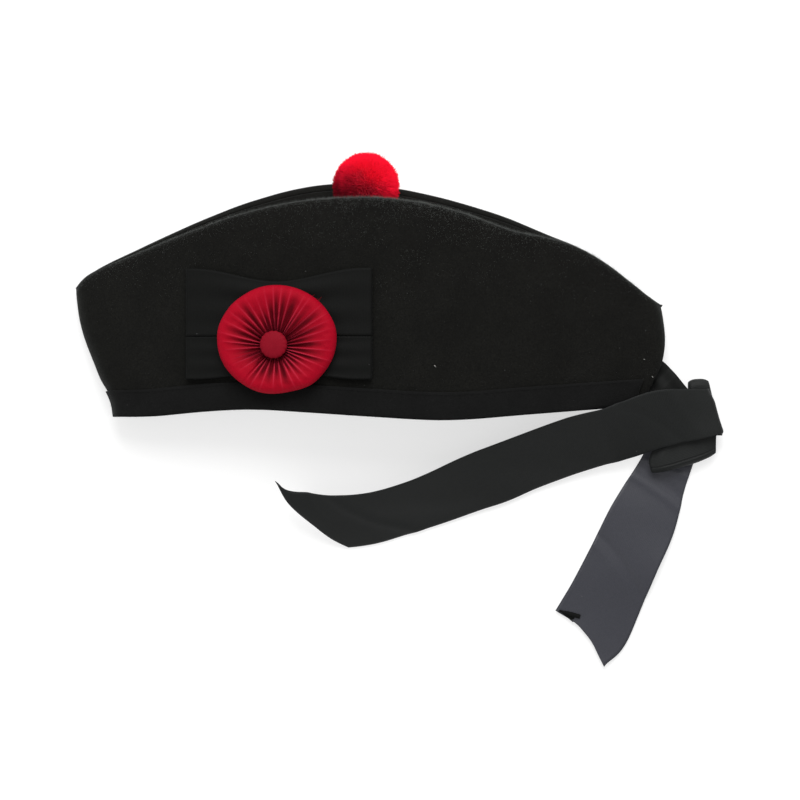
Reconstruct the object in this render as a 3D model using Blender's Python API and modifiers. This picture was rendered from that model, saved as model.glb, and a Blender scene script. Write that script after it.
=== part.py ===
"""A glengarry lying on its right side: a folded wool felt cap with a pompom, a cockade and two ribbons.

Metres, +Z up. The front is at -X, the crest at +Y, and the wearer's left side faces up.
The origin is on the surface that the cap lies on, at mid length, RIM_TO_ORIGIN above the rim.
"""
import math
from collections import namedtuple

import bmesh
import bpy
import numpy as np
from mathutils import Matrix, Vector

# Sizes of the cap
CAP_LENGTH = 0.314
CREST_HEIGHT = 0.115
RIM_TO_ORIGIN = 0.063
CAP_THICKNESS = 0.044
FOLD_THICKNESS = 0.012
FELT = 0.0025
CREST_ROLL = 0.004
CREST_OFFSET = 0.010
VALLEY_DEPTH = 0.0115
SLIT_OPENING = 0.0105
BAND_HEIGHT = 0.0135
BAND_TURN_IN = 0.007
BAND_RAMP = 0.010
SEAM_ALLOWANCE = 0.0015

# Sizes of the ribbons and of what is sewn to the cap
RIBBON_WIDTH = 0.036
RIBBON = 0.001
TOORIE = 0.0358
TOORIE_SQUASH = 0.72
TOORIE_LIFT = 0.0020
TOORIE_FORWARD = 0.0021
LOCK_LENGTH = 0.0022
LOCK_GROOVE = 0.00033
COCKADE_FORWARD = 0.0475
COCKADE_ABOVE_RIM = 0.0407
ROSETTE_LENGTH = 0.062
ROSETTE_WIDTH = 0.057
ROSETTE_HEIGHT = 0.008
GATHER_FORWARD = 0.0017
GATHER_DROP = 0.0036
BUTTON_WIDTH = 0.0145
BUTTON_HEIGHT = 0.005
BOW_LENGTH = 0.098
BOW_SEAM = 0.0018
LOOP_THICKNESS = 0.0032
KNOT_BEHIND = 0.029
KNOT_ABOVE_RIM = 0.0025
KNOT_LENGTH = 0.044
KNOT_THICKNESS = 0.0075
LEFT_TAIL_REACH = 0.236
LEFT_TAIL_CUT = 0.041
TAIL_FOLD = 0.003
RIGHT_TAIL_REACH = 0.130
RIGHT_TAIL_CUT = 0.017

# Clearances, angles and counts
GAP = 0.0003
ROLL_MID = math.radians(152)
ROLL_END = math.radians(90)
KNOT_ALONG = math.radians(97)
KNOT_ACROSS = math.radians(15)
LENS_POWER = 0.9
VALLEY_POWER = 1.3
SLIT_TOP = 0.80
FOLD_FLAT = 0.2
GATHERS = 34
PANEL_STEPS = 28
ROLL_STEPS = 5
CROWN_STEPS = 3
CORNER_COLUMNS = 4
CORNER_FELT = 0.35
LOCK_TAPER = 0.8
BUTTON_SEAT = 0.3
BOW_PINCH = 0.2
BOW_PINCH_REACH = 0.45
KNOT_TAPER = 0.45
KNOT_TAPER_REACH = 0.71
TAIL_STEPS = 30
FOLD_TURNS = [math.radians(turn) for turn in (100, 75, 50, 25)]
ROOT_INSIDE = 0.452
ROOT_RISE = 0.28
ROOT_STEPS = 12
ROOT_LEVEL = 0.56
ROOT_CLIMB = (0.42, 0.59)
ROOT_SPREAD = (0.12, 0.36)
ROOT_WIDTHS = (0.40, 0.54)

# Sizes that follow
FOLD_RADIUS = FOLD_THICKNESS / 2
BAND_CLEARANCE = RIBBON + GAP
UNDER_KNOT = RIBBON + 2 * GAP
KNOT_TOP = UNDER_KNOT + KNOT_THICKNESS

Crest = namedtuple("Crest", "along height beyond")
Rim = namedtuple("Rim", "along rise")
Edge = namedtuple("Edge", "up setback")
Station = namedtuple("Station", "along forward drop lift perch lean wide")
Ring = namedtuple("Ring", "radius height pleat")
Seat = namedtuple("Seat", "forward down")

# Where the ribbons lie by the left tail's fold: forward in ribbon widths, down in knot lengths
KNOT_SEAT = Seat(0.58, 0.20)
RIGHT_TAIL_SEAT = Seat(0.59, 0.39)
ROOT_SEAT = Seat(0.43, -0.05)

# The crests from front to back: shares of the cap's length, its height and the crest offset
CRESTS = [
    Crest(0.000, 0.600, 0.00),
    Crest(0.014, 0.646, 0.06),
    Crest(0.040, 0.688, 0.12),
    Crest(0.085, 0.736, 0.24),
    Crest(0.170, 0.825, 0.47),
    Crest(0.300, 0.943, 0.74),
    Crest(0.395, 0.992, 0.95),
    Crest(0.460, 1.004, 1.00),
    Crest(0.550, 0.995, 0.80),
    Crest(0.665, 0.928, 0.70),
    Crest(0.745, 0.850, 0.76),
    Crest(0.805, 0.824, 0.25),
    Crest(0.870, 0.762, 0.14),
    Crest(0.937, 0.637, 0.07),
    Crest(0.993, 0.520, 0.00),
]

# The rim's waves: shares of the cap's length and height
RIMS = [
    Rim(0.064, 0.010),
    Rim(0.130, 0.012),
    Rim(0.200, 0.031),
    Rim(0.300, 0.045),
    Rim(0.400, 0.031),
    Rim(0.500, 0.013),
    Rim(0.630, -0.004),
    Rim(0.770, 0.023),
    Rim(0.967, 0.063),
]

# The front and back folds from the rim up: shares of the fold's height and the cap's length
FRONT_FOLD = [
    Edge(0.00, 0.064),
    Edge(0.11, 0.061),
    Edge(0.20, 0.050),
    Edge(0.26, 0.041),
    Edge(0.40, 0.029),
    Edge(0.60, 0.013),
    Edge(0.80, 0.003),
    Edge(1.00, 0.000),
]
BACK_FOLD = [
    Edge(0.00, 0.033),
    Edge(0.13, 0.026),
    Edge(0.33, 0.010),
    Edge(0.52, 0.000),
    Edge(0.80, 0.000),
    Edge(1.00, 0.007),
]

# The left tail from its fold at the knot to its tip: shares of its reach, lift and width in ribbon
# widths, perch in heights of the knot, lean in degrees
LEFT_TAIL = [
    Station(0.000, 0.000, 0.000, 0.065, 1.0, 2, 0.70),
    Station(0.051, 0.051, 0.006, 0.125, 1.0, 10, 0.78),
    Station(0.119, 0.119, 0.015, 0.235, 1.0, 22, 0.92),
    Station(0.200, 0.200, 0.043, 0.410, 0.4, 35, 1.00),
    Station(0.323, 0.323, 0.081, 0.415, 0.0, 36, 1.00),
    Station(0.504, 0.504, 0.150, 0.355, 0.0, 35, 1.00),
    Station(0.686, 0.686, 0.215, 0.345, 0.0, 40, 1.00),
    Station(0.777, 0.777, 0.241, 0.335, 0.0, 38, 1.00),
    Station(0.867, 0.867, 0.249, 0.310, 0.0, 34, 1.00),
    Station(0.958, 0.958, 0.235, 0.290, 0.0, 30, 1.00),
    Station(1.000, 1.018, 0.208, 0.310, 0.0, 28, 1.00),
]

# The right tail from under the knot to its tip
RIGHT_TAIL = [
    Station(0.00, 0.000, 0.000, 0.018, 0.0, 0, 0.70),
    Station(0.18, 0.075, 0.168, 0.019, 0.0, 0, 0.82),
    Station(0.34, 0.139, 0.315, 0.080, 0.0, 2, 0.98),
    Station(0.52, 0.213, 0.470, 0.105, 0.0, -2, 1.00),
    Station(0.70, 0.290, 0.623, 0.060, 0.0, 2, 1.01),
    Station(0.84, 0.352, 0.746, 0.040, 0.0, 0, 1.03),
    Station(1.00, 0.424, 0.854, 0.065, 0.0, -2, 1.05),
]

# The rosette's section from the hole under the button, over the puffed ring and back below it
ROSETTE = [
    Ring(0.10, 0.26, 0.08),
    Ring(0.24, 0.46, 0.17),
    Ring(0.46, 0.70, 0.15),
    Ring(0.68, 0.92, 0.09),
    Ring(0.86, 0.95, 0.04),
    Ring(0.97, 0.68, 0.03),
    Ring(1.00, 0.34, 0.02),
    Ring(0.94, 0.02, 0.00),
    Ring(0.10, 0.00, 0.00),
]


def clear_scene():
    for old in list(bpy.data.objects):
        bpy.data.objects.remove(old, do_unlink=True)


def make_collection(name):
    group = bpy.data.collections.new(name)
    bpy.context.scene.collection.children.link(group)
    return group


def make_material(name, colour, roughness):
    material = bpy.data.materials.new(name)
    material.use_nodes = True
    shader = material.node_tree.nodes["Principled BSDF"]
    shader.inputs["Base Color"].default_value = (*colour, 1.0)
    shader.inputs["Roughness"].default_value = roughness
    shader.inputs["Metallic"].default_value = 0.0
    return material


def smooth(rows, column, along):
    """The named column at a share along, on a smooth curve through the table's rows."""
    places = [row[0] for row in rows]
    values = [getattr(row, column) for row in rows]
    slopes = np.gradient(values, places)
    k = int(np.clip(np.searchsorted(places, along) - 1, 0, len(places) - 2))
    step = places[k + 1] - places[k]
    t = float(np.clip((along - places[k]) / step, 0, 1))
    start = (2 * t ** 3 - 3 * t ** 2 + 1) * values[k] + (t ** 3 - 2 * t ** 2 + t) * step * slopes[k]
    end = (3 * t ** 2 - 2 * t ** 3) * values[k + 1] + (t ** 3 - t ** 2) * step * slopes[k + 1]
    return float(start + end)


def spread(first, last, steps):
    """Evenly spaced numbers, both ends among them."""
    return [first + (last - first) * k / steps for k in range(steps + 1)]


def ease(share):
    """0 to 1 with a level start and end."""
    share = float(np.clip(share, 0, 1))
    return share * share * (3 - 2 * share)


def add_object(name, mesh, material, parts):
    mesh.materials.append(material)
    mesh.shade_smooth()
    mesh.set_sharp_from_angle(angle=math.radians(40))
    shape = bpy.data.objects.new(name, mesh)
    parts.objects.link(shape)
    return shape


def add_surface(name, grid, material, parts, round_rows=False, round_columns=False):
    """A surface of quads through rows of points; the last row or column may join the first."""
    rows, columns = len(grid), len(grid[0])
    faces = []
    for i in range(rows if round_rows else rows - 1):
        for j in range(columns if round_columns else columns - 1):
            below, right = (i + 1) % rows, (j + 1) % columns
            faces.append((i * columns + j, below * columns + j, below * columns + right, i * columns + right))
    mesh = bpy.data.meshes.new(name)
    mesh.from_pydata([point for row in grid for point in row], [], faces)
    return add_object(name, mesh, material, parts)


def thicken(shape, thickness, offset, even=True):
    """Gives an open cloth surface its wall."""
    wall = shape.modifiers.new("wall", "SOLIDIFY")
    wall.thickness = thickness
    wall.offset = offset
    wall.use_even_offset = even
    wall.use_quality_normals = True


# The form of the cap, which everything on it follows

def plan(along, up):
    return Vector(((along - 0.5) * CAP_LENGTH, up * CREST_HEIGHT - RIM_TO_ORIGIN))


def crest_point(u, lower):
    along = CRESTS[0].along + u * (CRESTS[-1].along - CRESTS[0].along)
    point = plan(along, smooth(CRESTS, "height", along))
    if lower:
        point.y += CREST_OFFSET * smooth(CRESTS, "beyond", along)
    return point


def rim_point(u):
    along = RIMS[0].along + u * (RIMS[-1].along - RIMS[0].along)
    return plan(along, smooth(RIMS, "rise", along))


def fold_point(end, v, lower):
    """A point of the front fold (end 0) or the back fold (end 1), v of the way up from the rim."""
    foot, top = rim_point(end), crest_point(end, lower)
    height = foot.y + v * (top.y - foot.y)
    if end == 0:
        return Vector((smooth(FRONT_FOLD, "setback", v) * CAP_LENGTH - CAP_LENGTH / 2, height))
    return Vector((CAP_LENGTH / 2 - smooth(BACK_FOLD, "setback", v) * CAP_LENGTH, height))


def panel_plan(u, v, lower):
    """A panel's plan, blended between its rim, its crest and its two folds."""
    across = (1 - v) * rim_point(u) + v * crest_point(u, lower)
    along = (1 - u) * fold_point(0, v, lower) + u * fold_point(1, v, lower)
    rim_chord = (1 - u) * rim_point(0) + u * rim_point(1)
    crest_chord = (1 - u) * crest_point(0, lower) + u * crest_point(1, lower)
    return across + along - (1 - v) * rim_chord - v * crest_chord


def panel_height(u, lower):
    return (crest_point(u, lower) - rim_point(u)).length


def lens(x):
    """How far the cap stands open at x: 0 at its folds, 1 at mid length."""
    share = float(np.clip(x / CAP_LENGTH + 0.5, 0, 1))
    return max(math.sin(math.pi * share), 0) ** LENS_POWER


def thickness(x):
    return FOLD_THICKNESS + (CAP_THICKNESS - FOLD_THICKNESS) * lens(x)


def roll_angle(x):
    return ROLL_END + (ROLL_MID - ROLL_END) * math.sqrt(lens(x))


def fold_round(distance, least):
    """The quarter round at a fold, from the least share beside its seam to 1 on the panel's flat."""
    inset = float(np.clip(distance / FOLD_RADIUS, 0, 1))
    return max(math.sqrt(1 - (1 - inset) ** 2), least)


def slit_share(v):
    """How far the back slit keeps the panels from meeting, v of the way up from the rim."""
    return SLIT_OPENING / FOLD_THICKNESS * math.sqrt(np.clip(1 - v / SLIT_TOP, 0, 1))


def panel_point(u, up, drop, lower, least=FOLD_FLAT):
    """A point of a panel's outside, up from the rim in plan, drop in from the panel's flat.

    Near a fold its rise from the seam is at least the given share, and the seam itself has 0.
    """
    height = panel_height(u, lower)
    v = max(up, 0) / height
    spot = panel_plan(u, v, lower)
    middle = thickness(spot.x) / 2
    rise = middle - drop - GAP / 2
    if lower:
        rise -= BAND_CLEARANCE * ease((BAND_HEIGHT + BAND_RAMP - up) / BAND_RAMP)
    front = fold_round((spot - fold_point(0, v, lower)).length, least)
    back = fold_round((fold_point(1, v, lower) - spot).length, least)
    back += (1 - back) * slit_share(v)
    rise = GAP / 2 + rise * min(front, back)
    point = Vector((spot.x, spot.y, middle - rise if lower else middle + rise))
    if up < 0:
        step = 0.002
        point += (point - panel_point(u, step, drop, lower, least)) * (-up / step)
    return point


def roll_point(u, angle, lower, least=FOLD_FLAT):
    """A point of the rolled crest, angle round from the panel's flat."""
    inset = CREST_ROLL * (1 - math.sin(angle))
    drop = CREST_ROLL * (1 - math.cos(angle))
    return panel_point(u, panel_height(u, lower) - inset, drop, lower, least)


def seam_allowance(x):
    """The straight strip of cloth beside a seam, narrower where the cap is thin."""
    return SEAM_ALLOWANCE * math.sqrt(lens(x))


def seam_of(u, lower, least=FOLD_FLAT):
    """The panel's sewn edge inside the crest, and the direction in which the cloth leaves it."""
    angle = roll_angle(crest_point(u, lower).x)
    end = roll_point(u, angle, lower, least)
    heading = (end - roll_point(u, angle - 0.05, lower, least)).normalized()
    return end + heading * seam_allowance(end.x), heading


def panel_stations():
    """Shares along a panel: close together round its two folds, even between them."""
    quarter = [FOLD_RADIUS * (1 - math.cos(math.radians(turn))) / CAP_LENGTH for turn in (0, 30, 60, 90)]
    middle = spread(quarter[-1], 1 - quarter[-1], PANEL_STEPS)[1:-1]
    return quarter + middle + [1 - share for share in reversed(quarter)]


def panel_column(u, lower, least=FOLD_FLAT):
    """The points of a panel at one station, from its rim over its crest to its seam."""
    roll_start = panel_height(u, lower) - CREST_ROLL
    flats = [0, BAND_HEIGHT / 2, BAND_HEIGHT + GAP, BAND_HEIGHT + BAND_RAMP / 2, BAND_HEIGHT + BAND_RAMP]
    flats += spread(flats[-1], roll_start, 3)[1:]
    points = [panel_point(u, up, 0, lower, least) for up in flats]
    angle = roll_angle(crest_point(u, lower).x)
    points += [roll_point(u, angle * k / ROLL_STEPS, lower, least) for k in range(1, ROLL_STEPS + 1)]
    return points + [seam_of(u, lower, least)[0]]


def make_panel(name, lower, material, parts):
    columns = [panel_column(0, lower, 0)]
    columns += [panel_column(u, lower) for u in panel_stations()]
    columns.append(panel_column(1, lower, 0))
    if not lower:
        columns.reverse()
    grid = [list(row) for row in zip(*columns)]
    panel = add_surface(name, grid, material, parts)
    thicken(panel, FELT, -1, even=False)
    thin_corners(panel, len(grid), len(columns))


def thin_corners(panel, rows, columns):
    """The felt is pressed thinner where the rolled crest runs into a fold."""
    felt = panel.vertex_groups.new(name="felt")
    for i in range(rows):
        for j in range(columns):
            in_corner = i >= rows - ROLL_STEPS - 2 and not CORNER_COLUMNS <= j < columns - CORNER_COLUMNS
            felt.add([i * columns + j], CORNER_FELT if in_corner else 1.0, "REPLACE")
    panel.modifiers["wall"].vertex_group = "felt"


def hermite(start, leave, end, arrive, t):
    """A point of the curve from start to end that leaves and arrives in the given directions."""
    return ((2 * t ** 3 - 3 * t ** 2 + 1) * start + (t ** 3 - 2 * t ** 2 + t) * leave
            + (3 * t ** 2 - 2 * t ** 3) * end + (t ** 3 - t ** 2) * arrive)


def crown_wall(seam, heading, floor, arrive):
    """Half a section of the crown: straight at the seam, then curved down to the valley's floor."""
    first = seam + heading * seam_allowance(seam.x)
    reach = (floor - first).length
    leave, arrive = heading * reach, arrive * reach
    return [seam] + [hermite(first, leave, floor, arrive, t) for t in spread(0, 1, CROWN_STEPS)]


def crown_row(u):
    """The crown's points at one station, from the upper seam by the valley to the lower seam."""
    upper, upper_heading = seam_of(u, False)
    lower, lower_heading = seam_of(u, True)
    gap = GAP * (1.6 - 0.6 * lens(upper.x))
    upper += upper_heading * gap
    lower += lower_heading * gap
    x = (upper.x + lower.x) / 2
    floor = Vector((x, crest_point(u, False).y - VALLEY_DEPTH * lens(x) ** VALLEY_POWER, thickness(x) / 2))
    up = Vector((0, 0, 1))
    wall_a = crown_wall(upper, upper_heading, floor, -up)
    wall_b = crown_wall(lower, lower_heading, floor, up)
    return wall_a + wall_b[-2::-1]


def make_crown(material, parts):
    between_folds = panel_stations()[3:-3]
    columns = [crown_row(u) for u in reversed(between_folds)]
    grid = [list(row) for row in zip(*columns)]
    thicken(add_surface("crown", grid, material, parts), FELT, -1, even=False)


def panel_offset(u, up, out, lower, least):
    """A point that stands out from a panel's outside, square to it."""
    step = 0.0004
    point = panel_point(u, up, 0, lower, least)
    base = panel_point(u, up, 0, lower, 0)
    ahead = panel_point(u + step, up, 0, lower, 0) - base
    above = panel_point(u, max(up, 0) + step, 0, lower, 0) - panel_point(u, max(up, 0), 0, lower, 0)
    normal = above.cross(ahead) if lower else ahead.cross(above)
    return point + normal.normalized() * out


def band_row(u, lower, least=FOLD_FLAT):
    """The binding's section at one station: down its outside, under the rim and up its inside."""
    out = GAP + RIBBON / 2
    inside = -(FELT + out)
    legs = [(BAND_HEIGHT, out), (BAND_HEIGHT / 2, out), (-out, out), (-out, inside), (BAND_TURN_IN, inside)]
    return [panel_offset(u, up, side, lower, least) for up, side in legs]


def make_band(material, parts):
    stations = panel_stations()[:-3]
    rows = [band_row(u, False) for u in reversed(stations)]
    rows.append([(a + b) / 2 for a, b in zip(band_row(0, False, 0), band_row(0, True, 0))])
    rows += [band_row(u, True) for u in stations]
    thicken(add_surface("rim_band", rows, material, parts), RIBBON, 0)


# What lies on the cap

def on_panel(x, y, height):
    """A point above the upper panel, square to it."""
    step = 0.001
    slope = (thickness(x + step) - thickness(x - step)) / (2 * step)
    normal = Vector((-slope, 0, 1)).normalized()
    return Vector((x, y, thickness(x))) + normal * height


def make_toorie(material, parts):
    """The pompom: a round head whose every face is drawn out to a short lock of wool."""
    ball = bmesh.new()
    head = TOORIE / 2 - LOCK_LENGTH
    bmesh.ops.create_icosphere(ball, subdivisions=2, radius=head)
    bmesh.ops.inset_individual(ball, faces=ball.faces[:], thickness=LOCK_GROOVE)
    tips = [face for face in ball.faces if len(face.verts) == 3]
    for tip in tips:
        outward = tip.calc_center_median().normalized()
        drawn = bmesh.ops.extrude_discrete_faces(ball, faces=[tip])["faces"][0]
        centre = drawn.calc_center_median()
        for vert in drawn.verts:
            vert.co = centre + (vert.co - centre) * LOCK_TAPER + outward * LOCK_LENGTH
    reach = max(vert.co.length for vert in ball.verts)
    fit = TOORIE / 2 / reach
    valley = crest_point(0.5, False).y - VALLEY_DEPTH
    seat = Vector((-TOORIE_FORWARD, valley + 2 * GAP + TOORIE / 2, CAP_THICKNESS / 2 + TOORIE_LIFT))
    squash = Matrix.Diagonal((fit, fit, fit * TOORIE_SQUASH, 1))
    bmesh.ops.transform(ball, matrix=Matrix.Translation(seat) @ squash, verts=ball.verts)
    mesh = bpy.data.meshes.new("toorie")
    ball.to_mesh(mesh)
    ball.free()
    add_object("toorie", mesh, material, parts)


def cockade_centre():
    return -COCKADE_FORWARD, COCKADE_ABOVE_RIM - RIM_TO_ORIGIN


def gather_centre(share):
    """The rosette's middle at a share of its radius: the gathers meet forward of it and lower."""
    x0, y0 = cockade_centre()
    return x0 - GATHER_FORWARD * (1 - share), y0 - GATHER_DROP * (1 - share)


def bow_room():
    """The room on the panel from the bow's seam down to the binding."""
    x0, y0 = cockade_centre()
    first = (x0 - BOW_LENGTH / 2) / CAP_LENGTH + 0.5
    last = (x0 + BOW_LENGTH / 2) / CAP_LENGTH + 0.5
    highest = max(plan(along, smooth(RIMS, "rise", along)).y for along in spread(first, last, 12))
    return y0 + BOW_SEAM - highest - BAND_HEIGHT - 3 * GAP


def loop_section(length, height, flats, rounds):
    """A flattened loop of ribbon seen from its edge: pairs of run and rise, once round."""
    radius = height / 2
    half = length / 2 - radius
    pairs = []
    for side in (1, -1):
        pairs += [(side * run, side * radius) for run in spread(-half, half, flats)]
        for k in range(1, rounds):
            turn = math.pi / 2 - math.pi * k / rounds
            pairs.append((side * (half + radius * math.cos(turn)), side * radius * math.sin(turn)))
    return pairs


def make_bow(name, side, width, material, parts):
    """One flat loop of the bow, above (side 1) or below (side -1) the seam between the two."""
    x0, y0 = cockade_centre()
    seam = y0 + BOW_SEAM + side * GAP / 2
    grid = []
    for run, rise in loop_section(BOW_LENGTH - RIBBON, LOOP_THICKNESS - RIBBON, 8, 3):
        pinch = 1 - BOW_PINCH * ease(1 - abs(run) / (BOW_PINCH_REACH * BOW_LENGTH))
        height = GAP + LOOP_THICKNESS / 2 + rise
        reach = side * width * pinch
        grid.append([on_panel(x0 + run, seam + share * reach, height) for share in (0, 0.5, 1)])
    if side > 0:
        grid.reverse()
    thicken(add_surface(name, grid, material, parts, round_rows=True), RIBBON, 0)


def make_rosette(material, parts):
    """The gathered ribbon: its section swept round, with a ridge and a groove at each gather."""
    base = LOOP_THICKNESS + 2 * GAP
    points_a_gather = 4
    count = GATHERS * points_a_gather
    grid = []
    for k in range(count):
        turn = 2 * math.pi * k / count
        ridge = math.cos(GATHERS * turn)
        row = []
        for ring in ROSETTE:
            x0, y0 = gather_centre(ring.radius)
            x = x0 + ring.radius * ROSETTE_LENGTH / 2 * math.cos(turn)
            y = y0 + ring.radius * ROSETTE_WIDTH / 2 * math.sin(turn)
            height = base + ROSETTE_HEIGHT * (ring.height + ring.pleat * (ridge - 1) / 2)
            row.append(on_panel(x, y, height))
        grid.append(row)
    grid.reverse()
    add_surface("cockade_rosette", grid, material, parts, round_rows=True, round_columns=True)


def make_button(material, parts):
    ball = bmesh.new()
    bmesh.ops.create_uvsphere(ball, u_segments=16, v_segments=8, radius=BUTTON_WIDTH / 2)
    inner = BUTTON_WIDTH / ROSETTE_LENGTH
    x0, y0 = gather_centre(inner)
    seat = LOOP_THICKNESS + 2 * GAP + ROSETTE_HEIGHT * smooth(ROSETTE[:5], "height", inner)
    centre = on_panel(x0, y0, seat + GAP + BUTTON_HEIGHT * BUTTON_SEAT)
    up = (on_panel(x0, y0, 1) - on_panel(x0, y0, 0)).to_track_quat("Z", "Y").to_matrix().to_4x4()
    flat = Matrix.Diagonal((1, 1, BUTTON_HEIGHT / BUTTON_WIDTH, 1))
    bmesh.ops.transform(ball, matrix=Matrix.Translation(centre) @ up @ flat, verts=ball.verts)
    mesh = bpy.data.meshes.new("cockade_button")
    ball.to_mesh(mesh)
    ball.free()
    add_object("cockade_button", mesh, material, parts)


# The ribbons at the back

def knot_place():
    """Where the left tail folds over at the knot."""
    return Vector((CAP_LENGTH / 2 + KNOT_BEHIND, KNOT_ABOVE_RIM - RIM_TO_ORIGIN, 0))


def seated(seat):
    return knot_place() + Vector((-seat.forward * RIBBON_WIDTH, -seat.down * KNOT_LENGTH, 0))


def tail_centre(rows, start, reach, t):
    lift = RIBBON_WIDTH * smooth(rows, "lift", t) + KNOT_TOP * smooth(rows, "perch", t)
    return start + Vector((-reach * smooth(rows, "forward", t), -reach * smooth(rows, "drop", t), lift))


def tail_across(rows, start, reach, t):
    """The direction from a tail's lower edge to its upper edge, turned up by its lean."""
    step = 0.01
    ahead = tail_centre(rows, start, reach, min(t + step, 1))
    run = ahead - tail_centre(rows, start, reach, max(t - step, 0))
    flat = Vector((run.y, -run.x, 0)).normalized()
    lean = math.radians(smooth(rows, "lean", t))
    return flat * math.cos(lean) + Vector((0, 0, math.sin(lean)))


def tail_grid(rows, start, reach, cut, steps, shares):
    """Rows of points along a tail, whose end is cut off at a slant."""
    grid = []
    for k in range(steps + 1):
        row = []
        for share in shares:
            t = k / steps * (1 - abs(cut) / reach * (0.5 - share if cut > 0 else 0.5 + share))
            centre = tail_centre(rows, start, reach, t)
            width = RIBBON_WIDTH * smooth(rows, "wide", t)
            row.append(centre + tail_across(rows, start, reach, t) * width * share)
        grid.append(row)
    return grid


def make_left_tail(material, parts):
    shares = (-0.5, -0.25, 0, 0.25, 0.5)
    start = knot_place()
    start.x -= TAIL_FOLD
    grid = tail_grid(LEFT_TAIL, start, LEFT_TAIL_REACH, LEFT_TAIL_CUT, TAIL_STEPS, shares)
    first = grid[0]
    fold = []
    for turn in FOLD_TURNS:
        shift = Vector((TAIL_FOLD * math.sin(turn), 0, TAIL_FOLD * (math.cos(turn) - 1)))
        fold.append([point + shift for point in first])
    tip = [point + Vector((0, 0, -TAIL_FOLD)) for point in fold[0]]
    thicken(add_surface("tail_left", [tip] + fold + grid, material, parts), RIBBON, 0)


def make_right_tail(material, parts):
    shares = (-0.5, -0.17, 0.17, 0.5)
    steps = TAIL_STEPS * 3 // 5
    grid = tail_grid(RIGHT_TAIL, seated(RIGHT_TAIL_SEAT), RIGHT_TAIL_REACH, -RIGHT_TAIL_CUT, steps, shares)
    thicken(add_surface("tail_right", grid, material, parts), RIBBON, 0)


def make_knot(material, parts):
    """The half knot, pulled flat: one turn of ribbon round the others."""
    centre = seated(KNOT_SEAT)
    along = Vector((math.cos(KNOT_ALONG), math.sin(KNOT_ALONG), 0))
    across = Vector((math.cos(KNOT_ACROSS), math.sin(KNOT_ACROSS), 0))
    grid = []
    for run, rise in loop_section(KNOT_LENGTH - RIBBON, KNOT_THICKNESS - RIBBON, 6, 4):
        level = Vector((0, 0, UNDER_KNOT + KNOT_THICKNESS / 2 + rise))
        left = -0.5 + KNOT_TAPER * ease(run / (KNOT_TAPER_REACH * KNOT_LENGTH) + 0.5)
        middle = centre + along * run + level
        grid.append([middle + across * share * RIBBON_WIDTH for share in (left, 0.2, 0.5)])
    thicken(add_surface("ribbon_knot", grid, material, parts, round_rows=True), RIBBON, 0)


def make_root(material, parts):
    """The ribbon that comes out of the back slit and goes over the knot, under the left tail."""
    slit = Vector((CAP_LENGTH * ROOT_INSIDE, CREST_HEIGHT * ROOT_RISE - RIM_TO_ORIGIN, 0))
    run = seated(ROOT_SEAT) - slit
    across = Vector((-run.y, run.x, 0)).normalized()
    over_knot = KNOT_TOP + GAP + RIBBON / 2
    narrow, wide = ROOT_WIDTHS
    grid = []
    for t in spread(0, 1, ROOT_STEPS):
        centre = slit + run * t
        climb = ease((t - ROOT_CLIMB[0]) / (ROOT_CLIMB[1] - ROOT_CLIMB[0]))
        centre.z = (1 - climb) * thickness(centre.x) * ROOT_LEVEL + climb * over_knot
        broad = ease((t - ROOT_SPREAD[0]) / (ROOT_SPREAD[1] - ROOT_SPREAD[0]))
        width = RIBBON_WIDTH * (narrow + (wide - narrow) * broad)
        grid.append([centre + across * share * width for share in (-0.5, 0, 0.5)])
    thicken(add_surface("ribbon_root", grid, material, parts), RIBBON, 0)


def build():
    clear_scene()
    parts = make_collection("glengarry")
    felt = make_material("black_felt", (0.008, 0.008, 0.009), 0.95)
    binding = make_material("black_binding", (0.006, 0.006, 0.007), 0.75)
    wool = make_material("red_wool", (0.70, 0.01, 0.03), 0.95)
    red_ribbon = make_material("red_ribbon", (0.62, 0.008, 0.03), 0.45)
    black_ribbon = make_material("black_ribbon", (0.012, 0.014, 0.014), 0.6)
    satin = make_material("black_satin_back", (0.05, 0.053, 0.075), 0.4)
    make_panel("side_left", False, felt, parts)
    make_panel("side_right", True, felt, parts)
    make_crown(felt, parts)
    make_band(binding, parts)
    make_toorie(wool, parts)
    make_bow("bow_upper", 1, RIBBON_WIDTH, black_ribbon, parts)
    make_bow("bow_lower", -1, min(bow_room(), RIBBON_WIDTH), black_ribbon, parts)
    make_rosette(red_ribbon, parts)
    make_button(red_ribbon, parts)
    make_root(black_ribbon, parts)
    make_knot(black_ribbon, parts)
    make_left_tail(black_ribbon, parts)
    make_right_tail(satin, parts)


build()
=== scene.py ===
# %% [markdown]
# A glengarry is a cap of thick milled wool that folds flat. This one lies on its right side, with its
# front to the left of the picture. The imported model gives every piece its place and size, and this
# lesson dresses it: felt, wool, gathered ribbon and grosgrain. The imported solids are loaded first and
# never moved.
# %% Load the imported cap
import math
from collections import namedtuple

import bmesh
import bpy
import numpy as np
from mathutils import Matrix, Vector, noise


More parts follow.
